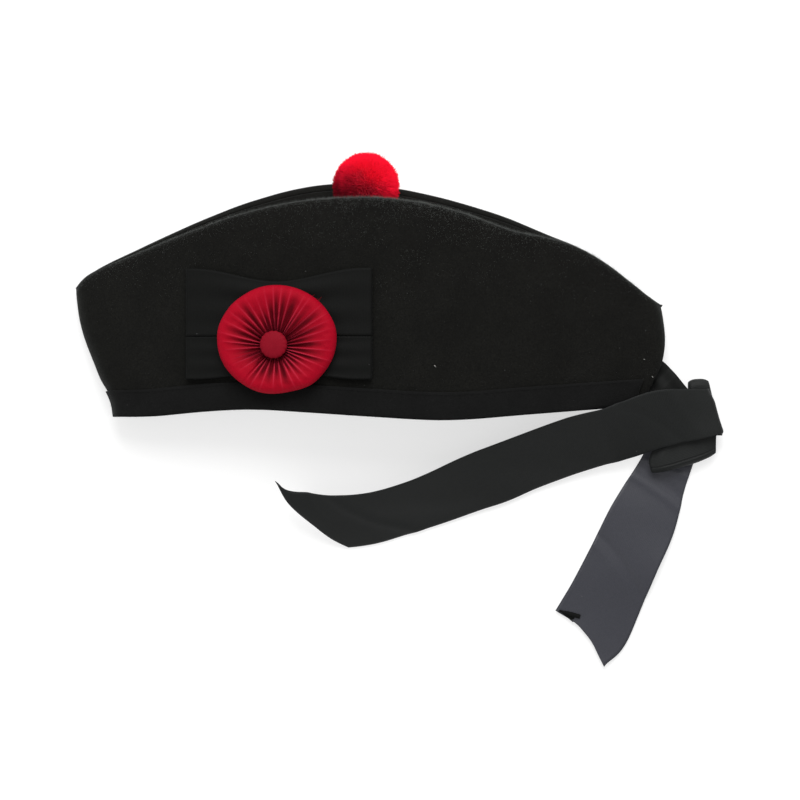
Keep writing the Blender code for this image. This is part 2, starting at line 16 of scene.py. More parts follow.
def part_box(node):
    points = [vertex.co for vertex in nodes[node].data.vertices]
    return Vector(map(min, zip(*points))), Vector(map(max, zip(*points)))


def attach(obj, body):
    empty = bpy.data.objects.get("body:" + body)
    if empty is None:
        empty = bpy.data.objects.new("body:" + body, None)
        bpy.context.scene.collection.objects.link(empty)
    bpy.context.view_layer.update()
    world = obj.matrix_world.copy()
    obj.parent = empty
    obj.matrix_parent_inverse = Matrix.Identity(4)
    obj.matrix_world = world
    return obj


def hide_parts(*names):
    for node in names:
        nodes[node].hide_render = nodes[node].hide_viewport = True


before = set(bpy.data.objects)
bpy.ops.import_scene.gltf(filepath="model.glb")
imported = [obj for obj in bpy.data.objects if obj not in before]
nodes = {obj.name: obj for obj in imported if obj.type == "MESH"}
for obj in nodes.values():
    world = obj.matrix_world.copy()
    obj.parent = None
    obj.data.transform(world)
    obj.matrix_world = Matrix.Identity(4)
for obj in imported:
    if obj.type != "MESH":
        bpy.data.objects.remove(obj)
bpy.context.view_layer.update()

# %% [markdown]
# The photograph looks straight down from about a metre and a half with a long lens, so the sides of
# the cap hardly show. The camera stands over a point a little towards the back and below the middle
# of the cap. The light is one wide soft box beyond the crests, which brushes the nap of the felt, a
# weaker one over the front, and a bright white room, which keeps every shadow soft. The picture's
# shadows are nearly white too, so the paper under the cap is lit from below, as on a light table.
# %% Camera, floor and lights
CAMERA_PLACE = (0.016, -0.054, 1.5)
FLOOR_LEVEL = -0.0004
ROOM_LIGHT = 0.62
PAPER_GLOW = 0.60
SoftBox = namedtuple("SoftBox", "name place size power")
SOFT_BOXES = [
    SoftBox("crest_box", (0.05, 1.15, 1.25), 1.3, 27.0),
    SoftBox("front_box", (-1.1, -0.5, 1.5), 1.1, 4.5),
]
AIMED_AT = Vector((0, 0, 0.02))


def set_values(node, values):
    """Sets a node's inputs that nothing is linked to."""
    for key, value in values.items():
        node.inputs[key].default_value = value


camera_data = bpy.data.cameras.new("camera")
camera_data.lens = 125
camera_data.sensor_width = 36
camera = bpy.data.objects.new("camera", camera_data)
camera.location = CAMERA_PLACE
bpy.context.scene.collection.objects.link(camera)
bpy.context.scene.camera = camera
bpy.context.scene.view_settings.view_transform = "Standard"

for box in SOFT_BOXES:
    bpy.ops.object.light_add(type="AREA", location=box.place)
    soft_box = bpy.context.object
    soft_box.name = box.name
    soft_box.data.shape = "DISK"
    soft_box.data.size = box.size
    soft_box.data.energy = box.power
    soft_box.rotation_euler = (AIMED_AT - soft_box.location).to_track_quat("-Z", "Y").to_euler()

room = bpy.data.worlds.new("white_room")
room.use_nodes = True
set_values(room.node_tree.nodes["Background"], {"Color": (0.99, 0.99, 0.985, 1), "Strength": ROOM_LIGHT})
bpy.context.scene.world = room

bpy.ops.mesh.primitive_plane_add(size=8, location=(0, 0, FLOOR_LEVEL))
floor = bpy.context.object
floor.name = "floor"
paper = bpy.data.materials.new("white_paper")
paper.use_nodes = True
set_values(paper.node_tree.nodes["Principled BSDF"], {
    "Base Color": (0.45, 0.45, 0.45, 1),
    "Roughness": 0.9,
    "Specular IOR Level": 0.1,
    "Emission Color": (1, 1, 1, 1),
    "Emission Strength": PAPER_GLOW,
})
floor.data.materials.append(paper)
print("camera at", tuple(camera.location), "with", len(SOFT_BOXES), "soft boxes")

# %% [markdown]
# Cloth patterns are shared. Felt, wool and ribbon all need fine fibres that break up the colour and
# the light, ribbon needs ribs across its run, and black cloth always shows a little lint. Each of
# these is a shader node group with named sockets, made once and placed in each material with its own
# values. The groups put out masks and heights only, and each material keeps its own shader.
# %% Node groups for fibres, ribs and lint
def new_group(name, inputs, outputs):
    """A group with its input and output nodes. An input without a value is a vector."""
    group = bpy.data.node_groups.new(name, "ShaderNodeTree")
    for label, value in inputs.items():
        kind = "NodeSocketVector" if value is None else "NodeSocketFloat"
        socket = group.interface.new_socket(name=label, in_out="INPUT", socket_type=kind)
        if value is not None:
            socket.default_value = value
    for label in outputs:
        group.interface.new_socket(name=label, in_out="OUTPUT", socket_type="NodeSocketFloat")
    return group, group.nodes.new("NodeGroupInput"), group.nodes.new("NodeGroupOutput")


def add_node(tree, kind, links=None, values=None, **settings):
    """A node with its settings, its sockets' values and what is linked to its inputs."""
    node = tree.nodes.new(kind)
    for key, value in settings.items():
        setattr(node, key, value)
    set_values(node, values or {})
    for key, source in (links or {}).items():
        tree.links.new(source, node.inputs[key])
    return node


def maths(tree, operation, first, second=0.0):
    """A Math node of two inputs, each a socket or a number."""
    node = add_node(tree, "ShaderNodeMath", operation=operation)
    for place, value in enumerate((first, second)):
        if isinstance(value, (int, float)):
            node.inputs[place].default_value = value
        else:
            tree.links.new(value, node.inputs[place])
    return node.outputs[0]


def spread_over(tree, value, low, high, to_low=0.0, to_high=1.0):
    """A socket's range from low to high, spread over another one."""
    ends = {"From Min": low, "From Max": high, "To Min": to_low, "To Max": to_high}
    return add_node(tree, "ShaderNodeMapRange", {"Value": value}, ends).outputs[0]


def make_fibre_group():
    """Milled wool: matted fibres a tenth of a millimetre thick, with soft clouds among them."""
    group, given, result = new_group("wool_fibres", {"Vector": None, "Fineness": 1.0}, ["Fibres", "Clouds"])
    place = given.outputs["Vector"]
    scale = maths(group, "MULTIPLY", given.outputs["Fineness"], 2600)
    fine = add_node(group, "ShaderNodeTexNoise", {"Vector": place, "Scale": scale},
                    {"Detail": 4.0, "Roughness": 0.65, "Distortion": 1.4})
    coarse_scale = maths(group, "MULTIPLY", given.outputs["Fineness"], 700)
    coarse = add_node(group, "ShaderNodeTexNoise", {"Vector": place, "Scale": coarse_scale},
                      {"Detail": 3.0, "Roughness": 0.6, "Distortion": 2.0})
    both = maths(group, "ADD", maths(group, "MULTIPLY", fine.outputs["Fac"], 0.65),
                 maths(group, "MULTIPLY", coarse.outputs["Fac"], 0.35))
    group.links.new(both, result.inputs["Fibres"])
    clouds = add_node(group, "ShaderNodeTexNoise", {"Vector": place}, {"Scale": 55.0, "Detail": 3.0})
    group.links.new(spread_over(group, clouds.outputs["Fac"], 0.35, 0.65), result.inputs["Clouds"])
    return group


def make_rib_group():
    """Grosgrain: round ribs across the ribbon's run, broken up by its fine warp threads, and a mask of the
    grooves between them for painted shade.
    """
    group, given, result = new_group(
        "ribbon_ribs",
        {"Run": 0.0, "Across": 0.0, "Rib": 0.0009, "Thread": 0.00035},
        ["Height", "Groove_shade"],
    )
    full_turn = 2 * math.pi
    run = maths(group, "DIVIDE", given.outputs["Run"], given.outputs["Rib"])
    wave = maths(group, "SINE", maths(group, "MULTIPLY", run, full_turn))
    rib = spread_over(group, wave, -1.0, 1.0)
    across = maths(group, "DIVIDE", given.outputs["Across"], given.outputs["Thread"])
    thread = maths(group, "SINE", maths(group, "MULTIPLY", across, full_turn))
    height = maths(group, "ADD", maths(group, "MULTIPLY", rib, 0.75),
                   maths(group, "MULTIPLY", spread_over(group, thread, -1.0, 1.0), 0.25))
    group.links.new(height, result.inputs["Height"])
    group.links.new(spread_over(group, rib, 0.0, 0.45, 1.0, 0.0), result.inputs["Groove_shade"])
    return group


def make_lint_group():
    """Lint and dust: a few pale specks, far apart."""
    group, given, result = new_group("lint", {"Vector": None, "Size": 0.06}, ["Specks"])
    cells = add_node(group, "ShaderNodeTexVoronoi", {"Vector": given.outputs["Vector"]}, {"Scale": 210.0})
    near = maths(group, "LESS_THAN", cells.outputs["Distance"], given.outputs["Size"])
    picked = add_node(group, "ShaderNodeSeparateColor", {"Color": cells.outputs["Color"]})
    few = maths(group, "GREATER_THAN", picked.outputs["Red"], 0.86)
    group.links.new(maths(group, "MULTIPLY", near, few), result.inputs["Specks"])
    return group


fibre_group = make_fibre_group()
rib_group = make_rib_group()
lint_group = make_lint_group()
print("node groups:", fibre_group.name, rib_group.name, lint_group.name)

# %% [markdown]
# Wool felt is nearly black, because light is caught between its fibres. What does come back comes
# from the nap: a soft sheen, strongest where the cloth turns away. So the felt has a dark uneven base
# colour, almost no gloss, a sheen, a bump from the fibre group, and a few specks of lint.
# %% Felt and binding
def new_material(name, roughness, gloss, sheen, sheen_roughness, sheen_tint):
    """A cloth material and its shader, with the values that are the same all over."""
    material = bpy.data.materials.new(name)
    material.use_nodes = True
    shader = material.node_tree.nodes["Principled BSDF"]
    set_values(shader, {
        "Roughness": roughness,
        "Specular IOR Level": gloss,
        "Sheen Weight": sheen,
        "Sheen Roughness": sheen_roughness,
        "Sheen Tint": (*sheen_tint, 1),
    })
    return material, material.node_tree, shader


def place_group(tree, group, links, values):
    return add_node(tree, "ShaderNodeGroup", links, values, node_tree=group)


def blend_colours(tree, share, first, second):
    """A colour between two, each a colour or a socket, by a share that changes over the surface."""
    node = add_node(tree, "ShaderNodeMix", {"Factor": share}, data_type="RGBA")
    for socket, colour in ((node.inputs[6], first), (node.inputs[7], second)):
        if isinstance(colour, tuple):
            socket.default_value = (*colour, 1)
        else:
            tree.links.new(colour, socket)
    return node.outputs[2]


def raise_bumps(tree, shader, height, depth):
    """Makes a height in the shader stand out by a depth in metres."""
    bump = add_node(tree, "ShaderNodeBump", {"Height": height}, {"Strength": 1.0, "Distance": depth})
    tree.links.new(bump.outputs["Normal"], shader.inputs["Normal"])


def make_felt(name, dark, light, fineness, depth, sheen):
    material, tree, shader = new_material(name, 0.95, 0.12, sheen, 0.42, (0.80, 0.86, 0.84))
    place = add_node(tree, "ShaderNodeTexCoord").outputs["Object"]
    fibres = place_group(tree, fibre_group, {"Vector": place}, {"Fineness": fineness})
    shade = maths(tree, "MULTIPLY", spread_over(tree, fibres.outputs["Fibres"], 0.41, 0.61),
                  spread_over(tree, fibres.outputs["Clouds"], 0.0, 1.0, 0.65, 1.0))
    cloth = blend_colours(tree, shade, dark, light)
    lint = place_group(tree, lint_group, {"Vector": place}, {"Size": 0.05})
    colour = blend_colours(tree, lint.outputs["Specks"], cloth, (0.05, 0.052, 0.05))
    tree.links.new(colour, shader.inputs["Base Color"])
    raise_bumps(tree, shader, fibres.outputs["Fibres"], depth)
    return material


black_felt = make_felt("black_felt", (0.0016, 0.0016, 0.0013), (0.0098, 0.0098, 0.0084),
                       fineness=1.0, depth=0.00022, sheen=0.065)
black_binding = make_felt("black_binding", (0.0022, 0.0022, 0.0022), (0.0085, 0.0087, 0.0086),
                          fineness=1.3, depth=0.00012, sheen=0.05)
print("cloth materials:", black_felt.name, black_binding.name)

# %% [markdown]
# The two side panels, the crown and the binding are already the right shape as packed, but they are
# faceted. Each is copied, its loose triangles are merged and paired to quads again, and a subdivision
# surface rounds it, as felt is round at every edge. The copy then stands for its node. Real felt is
# never quite flat either, so a low swell is pressed into it with smooth noise. Rounding draws the
# panels in a little at their folds and crests, which is made good, and the crown is drawn out at both
# ends until it meets the folds.
# %% Felt panels, crown and binding
MERGE = 1e-5
PAIR_BEND = math.radians(50)
PAIR_SKEW = math.radians(70)
CUT_ANGLE = math.radians(55)
CUT_EDGE = 0.7
LEVELS = 2
SWELL_WAVE = 0.045
FOLD_FROM = 0.148
FOLD_OVER = 0.007
FOLD_LOSS = 0.0013
CREST_LOSS = 0.0005
CROWN_FROM = 0.136
CROWN_OVER = 0.013
CROWN_REACH = 0.0020
CROWN_DROP = 0.0022
FeltWork = namedtuple("FeltWork", "node name slot depth puff")
FELT_WORK = [
    FeltWork("side_left", "panel_left", "felt", 0.00030, 0.0),
    FeltWork("side_right", "panel_right", "felt", 0.00020, 0.00020),
    FeltWork("crown", "crown_fold", "felt", 0.0, 0.00018),
    FeltWork("rim_band", "binding", "binding", 0.00008, 0.0),
]


def start_alone():
    """Leaves edit mode and selects nothing, so that an operator acts on one piece only."""
    if bpy.context.object and bpy.context.object.mode != "OBJECT":
        bpy.ops.object.mode_set(mode="OBJECT")
    bpy.ops.object.select_all(action="DESELECT")


def take_alone(piece):
    start_alone()
    bpy.context.view_layer.objects.active = piece
    piece.select_set(True)


def edit_all(piece):
    """Enters edit mode on one piece with all of it selected."""
    take_alone(piece)
    bpy.ops.object.mode_set(mode="EDIT")
    bpy.ops.mesh.select_all(action="SELECT")


def end_edit():
    bpy.ops.object.mode_set(mode="OBJECT")


def add_shape(kind, name, **settings):
    """Adds a primitive by itself and names it."""
    start_alone()
    getattr(bpy.ops.mesh, f"primitive_{kind}_add")(**settings)
    bpy.context.object.name = name
    return bpy.context.object


def within(share):
    return min(max(share, 0), 1)


def apply_modifier(piece, kind, **settings):
    """Adds a modifier and applies it."""
    take_alone(piece)
    modifier = piece.modifiers.new(kind.lower(), kind)
    for key, value in settings.items():
        setattr(modifier, key, value)
    bpy.ops.object.modifier_apply(modifier=modifier.name)


def smooth_copy(node_name, name):
    """A merged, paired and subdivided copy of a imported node, whose cut edges stay crisp."""
    piece = bpy.data.objects.new(name, nodes[node_name].data.copy())
    bpy.context.scene.collection.objects.link(piece)
    take_alone(piece)
    piece.data.materials.clear()
    bpy.ops.mesh.customdata_custom_splitnormals_clear()
    edit_all(piece)
    bpy.ops.mesh.remove_doubles(threshold=MERGE)
    bpy.ops.mesh.tris_convert_to_quads(face_threshold=PAIR_BEND, shape_threshold=PAIR_SKEW)
    bpy.ops.mesh.select_all(action="DESELECT")
    bpy.ops.mesh.select_mode(type="EDGE")
    bpy.ops.mesh.edges_select_sharp(sharpness=CUT_ANGLE)
    bpy.ops.transform.edge_crease(value=CUT_EDGE)
    bpy.ops.mesh.select_mode(type="VERT")
    end_edit()
    apply_modifier(piece, "SUBSURF", levels=LEVELS, render_levels=LEVELS)
    bpy.ops.object.shade_smooth()
    return piece


def points_and_normals(piece):
    """A piece's points, each with the normal that it has now."""
    return zip(piece.data.vertices, [vert.normal.copy() for vert in piece.data.vertices])


def swell(piece, depth, puff):
    """Presses a low swell in to a piece and puffs the whole of it out a little."""
    for vert, normal in points_and_normals(piece):
        fine = noise.noise(vert.co / (SWELL_WAVE * 0.28) + Vector((3, 1, 7)))
        low = noise.noise(vert.co / SWELL_WAVE) + 0.45 * fine
        vert.co += normal * (puff - depth * min(max(0.5 + low, 0), 1.3))


def fill_folds(piece):
    """Subdivision draws a panel in at its folds and its crest, so they are filled out again."""
    for vert, normal in points_and_normals(piece):
        at_fold = within((abs(vert.co.x) - FOLD_FROM) / FOLD_OVER)
        vert.co.x += math.copysign(FOLD_LOSS * at_fold, vert.co.x)
        vert.co += normal * CREST_LOSS * within((normal.y - 0.3) / 0.5)


def reach_folds(piece):
    """Draws the two ends of the crown out in to the front and the back fold, down along the panels."""
    for vert in piece.data.vertices:
        at_end = within((abs(vert.co.x) - CROWN_FROM) / CROWN_OVER)
        vert.co.x += math.copysign(CROWN_REACH * at_end, vert.co.x)
        vert.co.y -= CROWN_DROP * at_end


def dress(piece, material, slot, *replaced):
    """Gives a piece its material and the nodes that it stands for; the slot is not used."""
    piece.data.materials.clear()
    piece.data.materials.append(material)
    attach(piece, "root")
    if replaced:
        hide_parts(*replaced)
    return piece


felt_pieces = {}
for work in FELT_WORK:
    piece = smooth_copy(work.node, work.name)
    swell(piece, work.depth, work.puff)
    if work.node.startswith("side"):
        fill_folds(piece)
    elif work.node == "crown":
        reach_folds(piece)
    dress(piece, black_felt if work.slot == "felt" else black_binding, work.slot, work.node)
    felt_pieces[work.node] = piece
    print(work.name, "has", len(piece.data.polygons), "faces")

# %% [markdown]
# The shape of the folded cap comes back in several pieces: it is thin at the front and back folds and
# full in the middle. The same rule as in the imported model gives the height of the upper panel, so
# that the cockade can lie on it. Tables of stations are read on a smooth curve through their rows.
# %% Where things lie on the cap
CAP_LENGTH = 0.314
CAP_THICKNESS = 0.044
FOLD_THICKNESS = 0.012
LENS_POWER = 0.9
RIBBON_WIDTH = 0.036


def panel_top(x):
    """How high the upper panel lies above the table at x."""
    share = within(x / CAP_LENGTH + 0.5)
    return FOLD_THICKNESS + (CAP_THICKNESS - FOLD_THICKNESS) * max(math.sin(math.pi * share), 0) ** LENS_POWER


def on_panel(x, y, height):
    """A point above the upper panel, square to it."""
    step = 0.001
    slope = (panel_top(x + step) - panel_top(x - step)) / (2 * step)
    return Vector((x, y, panel_top(x))) + Vector((-slope, 0, 1)).normalized() * height


def ease(share):
    """A soft step from 0 to 1."""
    share = min(max(share, 0.0), 1.0)
    return share * share * (3 - 2 * share)


def smooth_along(rows, column, along):
    """The named column at a share along, on a smooth curve through the table's rows."""
    places = [row[0] for row in rows]
    values = [getattr(row, column) for row in rows]
    slopes = np.gradient(values, places)
    k = int(np.clip(np.searchsorted(places, along) - 1, 0, len(places) - 2))
    step = places[k + 1] - places[k]
    t = float(np.clip((along - places[k]) / step, 0, 1))
    start = (2 * t ** 3 - 3 * t ** 2 + 1) * values[k] + (t ** 3 - 2 * t ** 2 + t) * step * slopes[k]
    end = (3 * t ** 2 - 2 * t ** 3) * values[k + 1] + (t ** 3 - t ** 2) * step * slopes[k + 1]
    return float(start + end)


print("upper panel is", round(1000 * panel_top(0), 1), "mm up at mid length")

# %% [markdown]
# Ribbon is flat woven cloth, so each length of it starts as a grid of quads. The grid's own UV map
# stays with it, and the ribs and threads of the weave follow that map however the ribbon turns. The
# grid's points are then laid on the route of the ribbon, and a Solidify modifier gives it its wall.
# %% A ribbon from a grid
RIBBON_CLOTH = 0.0005


def shares(steps):
    """The shares from 0 to 1 in even steps."""
    return [k / steps for k in range(steps + 1)]


def as_table(points):
    return np.array([[tuple(point) for point in row] for row in points])


def cloth_grid(name, points, wall=RIBBON_CLOTH):
    """A cloth through rows of points, points[row][column], with its UV map in metres of cloth."""
    rows, columns = len(points), len(points[0])
    piece = add_shape("grid", name, x_subdivisions=rows - 1, y_subdivisions=columns - 1, size=1)
    spots = [(round((v.co.x + 0.5) * (rows - 1)), round((v.co.y + 0.5) * (columns - 1)))
             for v in piece.data.vertices]
    table = as_table(points)
    runs = np.linalg.norm(np.diff(table, axis=0), axis=2).mean(axis=1)
    run = np.concatenate([[0], np.cumsum(runs)])
    steps = np.linalg.norm(np.diff(table, axis=1), axis=2).mean(axis=0)
    across = np.concatenate([[0], np.cumsum(steps)])
    uv = piece.data.uv_layers.active.data
    for loop in piece.data.loops:
        i, j = spots[loop.vertex_index]
        uv[loop.index].uv = (run[i], across[j])
    for vert, (i, j) in zip(piece.data.vertices, spots):
        vert.co = points[i][j]
    apply_modifier(piece, "SOLIDIFY", thickness=wall, offset=0)
    bpy.ops.object.shade_smooth()
    return piece


def push_out(points, height):
    """Moves a grid's points off its surface by height(row share, column share), in metres."""
    table = as_table(points)
    normal = np.cross(np.gradient(table, axis=0), np.gradient(table, axis=1))
    normal /= np.maximum(np.linalg.norm(normal, axis=2, keepdims=True), 1e-12)
    rows, columns = table.shape[:2]
    lift = np.array([[height(t, s) for s in shares(columns - 1)] for t in shares(rows - 1)])
    return table + normal * lift[:, :, None]


Look = namedtuple("Look", "name dark light groove rib depth roughness gloss sheen")
# The bow and root looks are the black ribbon darkened by painted shade, for the bow, the rolled curl and the
# root.
RIBBON_LOOKS = [
    Look("black_ribbon", (0.0042, 0.0049, 0.0048), (0.0125, 0.0140, 0.0135), (0.0022, 0.0026, 0.0026),
         0.0008, 0.00004, 0.62, 0.22, 0.05),
    Look("bow_ribbon_painted_shade", (0.0017, 0.0019, 0.0017), (0.0053, 0.0056, 0.0051), (0.0012, 0.0013, 0.0012),
         0.0008, 0.00004, 0.70, 0.10, 0.02),
    Look("root_ribbon_painted_shade", (0.0030, 0.0034, 0.0031), (0.0090, 0.0097, 0.0090), (0.0017, 0.0019, 0.0018),
         0.0008, 0.00004, 0.66, 0.14, 0.03),
    # The satin reverse side: its light blue-grey base colour is partly a painted reflection.
    Look("satin_back", (0.022, 0.023, 0.031), (0.046, 0.047, 0.059), (0.017, 0.018, 0.024),
         0.0006, 0.00003, 0.42, 0.40, 0.08),
]


def make_ribbon(look):
    """Ribbed ribbon between two tones, with painted shade in the grooves between its ribs."""
    material, tree, shader = new_material(look.name, look.roughness, look.gloss, look.sheen, 0.35,
                                          (0.85, 0.9, 1.0))
    coords = add_node(tree, "ShaderNodeTexCoord")
    split = add_node(tree, "ShaderNodeSeparateXYZ", {"Vector": coords.outputs["UV"]})
    ribs = place_group(tree, rib_group, {"Run": split.outputs["X"], "Across": split.outputs["Y"]},
                       {"Rib": look.rib, "Thread": 0.0004})
    fibres = place_group(tree, fibre_group, {"Vector": coords.outputs["Object"]}, {"Fineness": 1.6})
    tone = spread_over(tree, fibres.outputs["Fibres"], 0.36, 0.66)
    cloth = blend_colours(tree, tone, look.dark, look.light)
    # Painted shade in the grooves between the ribs.
    cloth = blend_colours(tree, maths(tree, "MULTIPLY", ribs.outputs["Groove_shade"], 0.6), cloth, look.groove)
    lint = place_group(tree, lint_group, {"Vector": coords.outputs["Object"]}, {"Size": 0.04})
    colour = blend_colours(tree, lint.outputs["Specks"], cloth, (0.09, 0.09, 0.09))
    tree.links.new(colour, shader.inputs["Base Color"])
    fuzz_height = maths(tree, "MULTIPLY", fibres.outputs["Fibres"], 0.5)
    raise_bumps(tree, shader, maths(tree, "ADD", ribs.outputs["Height"], fuzz_height), look.depth)
    return material


black_ribbon, bow_ribbon_painted_shade, root_ribbon_painted_shade, satin_back = (make_ribbon(look) for look in RIBBON_LOOKS)
print("ribbon materials:", black_ribbon.name, bow_ribbon_painted_shade.name, root_ribbon_painted_shade.name, satin_back.name)

# %% [markdown]
# The cockade starts with a flat bow of the same black ribbon, two widths of it, one above the other
# with a narrow gap between. Each is a flattened loop, drawn in at its middle where it is sewn down.
# On black felt only its edges and its pinched folds can be seen.
# %% The bow under the cockade
COCKADE_X = -0.0475
COCKADE_Y = -0.0223
BOW_LENGTH = 0.098
BOW_SEAM = 0.0018
LOOP_THICKNESS = 0.0032
BOW_ROUND = 12
BOW_FLAT = 64
BOW_ACROSS = 26
BOW_PINCH = 0.2
BOW_PINCH_REACH = 0.45
BOW_SIDE_GAP = 0.0002


def loop_outline(length, height, flats, rounds):
    """Pairs of run and rise once round a flattened loop seen from its edge."""
    radius = height / 2
    half = length / 2 - radius
    pairs = []
    for side in (1, -1):
        pairs += [(side * (-half + 2 * half * k / flats), side * radius) for k in range(flats + 1)]
        for k in range(1, rounds):
            turn = math.pi / 2 - math.pi * k / rounds
            pairs.append((side * (half + radius * math.cos(turn)), side * radius * math.sin(turn)))
    return pairs


def bow_point(run, rise, share, side, width, seed):
    """A point of one width of the bow, drawn in at its middle, with folds that fan out from there."""
    pinch = 1 - BOW_PINCH * ease(1 - abs(run) / (BOW_PINCH_REACH * BOW_LENGTH))
    out = abs(run) / (BOW_LENGTH / 2)
    fan = math.sin((share * 5.2 + 0.35 * seed) * math.pi + 0.9 * out)
    fold = 0.00045 * fan * (1 - ease((out - 0.2) / 0.75)) * min(share * 6, 1)
    edge = 0.0007 * noise.noise(Vector((run * 30, seed * 5.0, 0.3))) * share
    y = COCKADE_Y + BOW_SEAM + side * (0.00015 + share * width * pinch + edge)
    height = 0.0003 + LOOP_THICKNESS / 2 + rise * (1 + 0.12 * fan) + (fold if rise > 0 else 0)
    return on_panel(COCKADE_X + run, y, max(height, 0.0005))


def make_bow_width(name, node_name, side, seed):
    """One width of the bow as a loop of cloth, whose ends meet under its middle."""
    low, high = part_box(node_name)
    width = high.y - low.y - 2 * BOW_SIDE_GAP
    outline = loop_outline(BOW_LENGTH - RIBBON_CLOTH, LOOP_THICKNESS - RIBBON_CLOTH, BOW_FLAT, BOW_ROUND)
    under_middle = BOW_FLAT // 2 + BOW_FLAT + BOW_ROUND
    rows = [[bow_point(run, rise, share, side, width, seed) for share in shares(BOW_ACROSS)]
            for run, rise in outline[under_middle:] + outline[:under_middle]]
    piece = cloth_grid(name, rows)
    # The bow takes a darker copy of the black ribbon: painted shade.
    return dress(piece, bow_ribbon_painted_shade, "ribbon", node_name)


bow_pieces = [
    make_bow_width("bow_top_width", "bow_upper", side=1, seed=1),
    make_bow_width("bow_low_width", "bow_lower", side=-1, seed=2),
]
print("bow widths:", [len(piece.data.polygons) for piece in bow_pieces])

# %% [markdown]
# The rosette is a strip of red ribbon sewn to a ring and drawn up by a thread at its middle, so it
# puffs out smoothly at its rim and breaks into sharp gathers nearer the button. It is made as a circle
# that is extruded ring by ring over the puffed section, and each ring's points are lowered where a
# gather falls. No two gathers are alike, so each has its own direction, width, depth and length.
# %% The gathered rosette
GATHERS = 34
POINTS_A_GATHER = 14
ROSETTE_LENGTH = 0.062
ROSETTE_WIDTH = 0.057
ROSETTE_HEIGHT = 0.008
GATHER_FORWARD = 0.0017
GATHER_DROP = 0.0036
Ring = namedtuple("Ring", "along radius height")
ROSETTE_SECTION = [
    Ring(0.00, 0.12, 0.22),
    Ring(0.12, 0.21, 0.36),
    Ring(0.30, 0.36, 0.60),
    Ring(0.46, 0.54, 0.80),
    Ring(0.60, 0.72, 0.95),
    Ring(0.72, 0.86, 0.97),
    Ring(0.82, 0.955, 0.78),
    Ring(0.90, 0.995, 0.46),
    Ring(0.95, 0.985, 0.18),
    Ring(1.00, 0.90, 0.01),
]
SECTION_STEPS = 46
GATHER_TOP = 0.26
ON_BOW = LOOP_THICKNESS + 0.0006

draw = np.random.default_rng(7)
ridge_turns = [2 * math.pi * (k + 0.27 * draw.uniform(-1, 1)) / GATHERS for k in range(GATHERS + 1)]
ridge_turns[GATHERS] = ridge_turns[0] + 2 * math.pi
valley_depths = [0.0020 * draw.uniform(0.6, 1.15) for _ in range(GATHERS)]
valley_ends = [draw.uniform(0.66, 1.08) for _ in range(GATHERS)]
valley_skews = [draw.uniform(0.75, 1.35) for _ in range(GATHERS)]


def between_ridges(turn):
    """Which valley a turn lies in, the share of the way across it and its width in radians."""
    turn = (turn - ridge_turns[0]) % (2 * math.pi) + ridge_turns[0]
    k = min(int(np.searchsorted(ridge_turns, turn, side="right")) - 1, GATHERS - 1)
    wide = ridge_turns[k + 1] - ridge_turns[k]
    return k, (turn - ridge_turns[k]) / wide, wide


def gather_fall(turn, radius):
    """How far the ribbon falls between two ridges at a turn and a share of the radius."""
    k, share, _ = between_ridges(turn)
    hollow = 1 - abs(2 * share ** valley_skews[k] - 1) ** 1.7
    fade = 1 - ease((radius - GATHER_TOP) / (valley_ends[k] - GATHER_TOP))
    return hollow * (valley_depths[k] * fade + 0.00022 * (1 - ease((radius - 0.7) / 0.3)))


def painted_ridge_highlight(turn, radius):
    """A painted highlight: 1 on the thin top of a ridge, 0 beside it, fading out towards the rim."""
    k, share, wide = between_ridges(turn)
    side = min(share, 1 - share) * wide * radius * ROSETTE_LENGTH / 2
    reach = max(valley_ends[k], valley_ends[k - 1])
    return math.exp(-(side / 0.00028) ** 2) * (1 - ease((radius - 0.50) / (reach - 0.38)))


def rosette_point(turn, along):
    radius = smooth_along(ROSETTE_SECTION, "radius", along)
    height = smooth_along(ROSETTE_SECTION, "height", along)
    heading = Vector((math.cos(turn), math.sin(turn), 0))
    uneven = 1 + 0.022 * noise.noise(heading * 1.9) * radius
    x = COCKADE_X - GATHER_FORWARD * (1 - radius) + radius * uneven * ROSETTE_LENGTH / 2 * heading.x
    y = COCKADE_Y - GATHER_DROP * (1 - radius) + radius * uneven * ROSETTE_WIDTH / 2 * heading.y
    fall = gather_fall(turn, radius) if along < 0.9 else 0.0
    fall *= ease((height - 0.02) / 0.3)
    spot = Vector((heading.x * radius, heading.y * radius, 0))
    soft = 0.0006 * noise.noise(spot * 4 + Vector((0, 0, along))) + 0.00022 * noise.noise(spot * 13)
    soft *= ease(height * 2)
    return on_panel(x, y, ON_BOW + ROSETTE_HEIGHT * height - fall + soft)


def extrude_rings(name, rings):
    """A closed solid through rings of points: a circle extruded ring by ring, with its ends filled."""
    count = len(rings[0])
    piece = add_shape("circle", name, vertices=count, radius=1)
    edit_all(piece)
    order = {k: k for k in range(count)}
    for k, ring in enumerate(rings):
        if k:
            bpy.ops.mesh.extrude_region_move()
        shape = bmesh.from_edit_mesh(piece.data)
        shape.verts.ensure_lookup_table()
        chosen = [vert for vert in shape.verts if vert.select]
        if k:
            order = {vert.index: order[edge.other_vert(vert).index]
                     for vert in chosen for edge in vert.link_edges if not edge.other_vert(vert).select}
        for vert in chosen:
            vert.co = ring[order[vert.index]]
        bmesh.update_edit_mesh(piece.data)
    bpy.ops.mesh.select_all(action="DESELECT")
    bpy.ops.mesh.select_non_manifold(extend=False)
    bpy.ops.mesh.fill_holes(sides=0)
    bpy.ops.mesh.select_all(action="SELECT")
    bpy.ops.mesh.normals_make_consistent(inside=False)
    end_edit()
    bpy.ops.object.shade_smooth()
    return piece


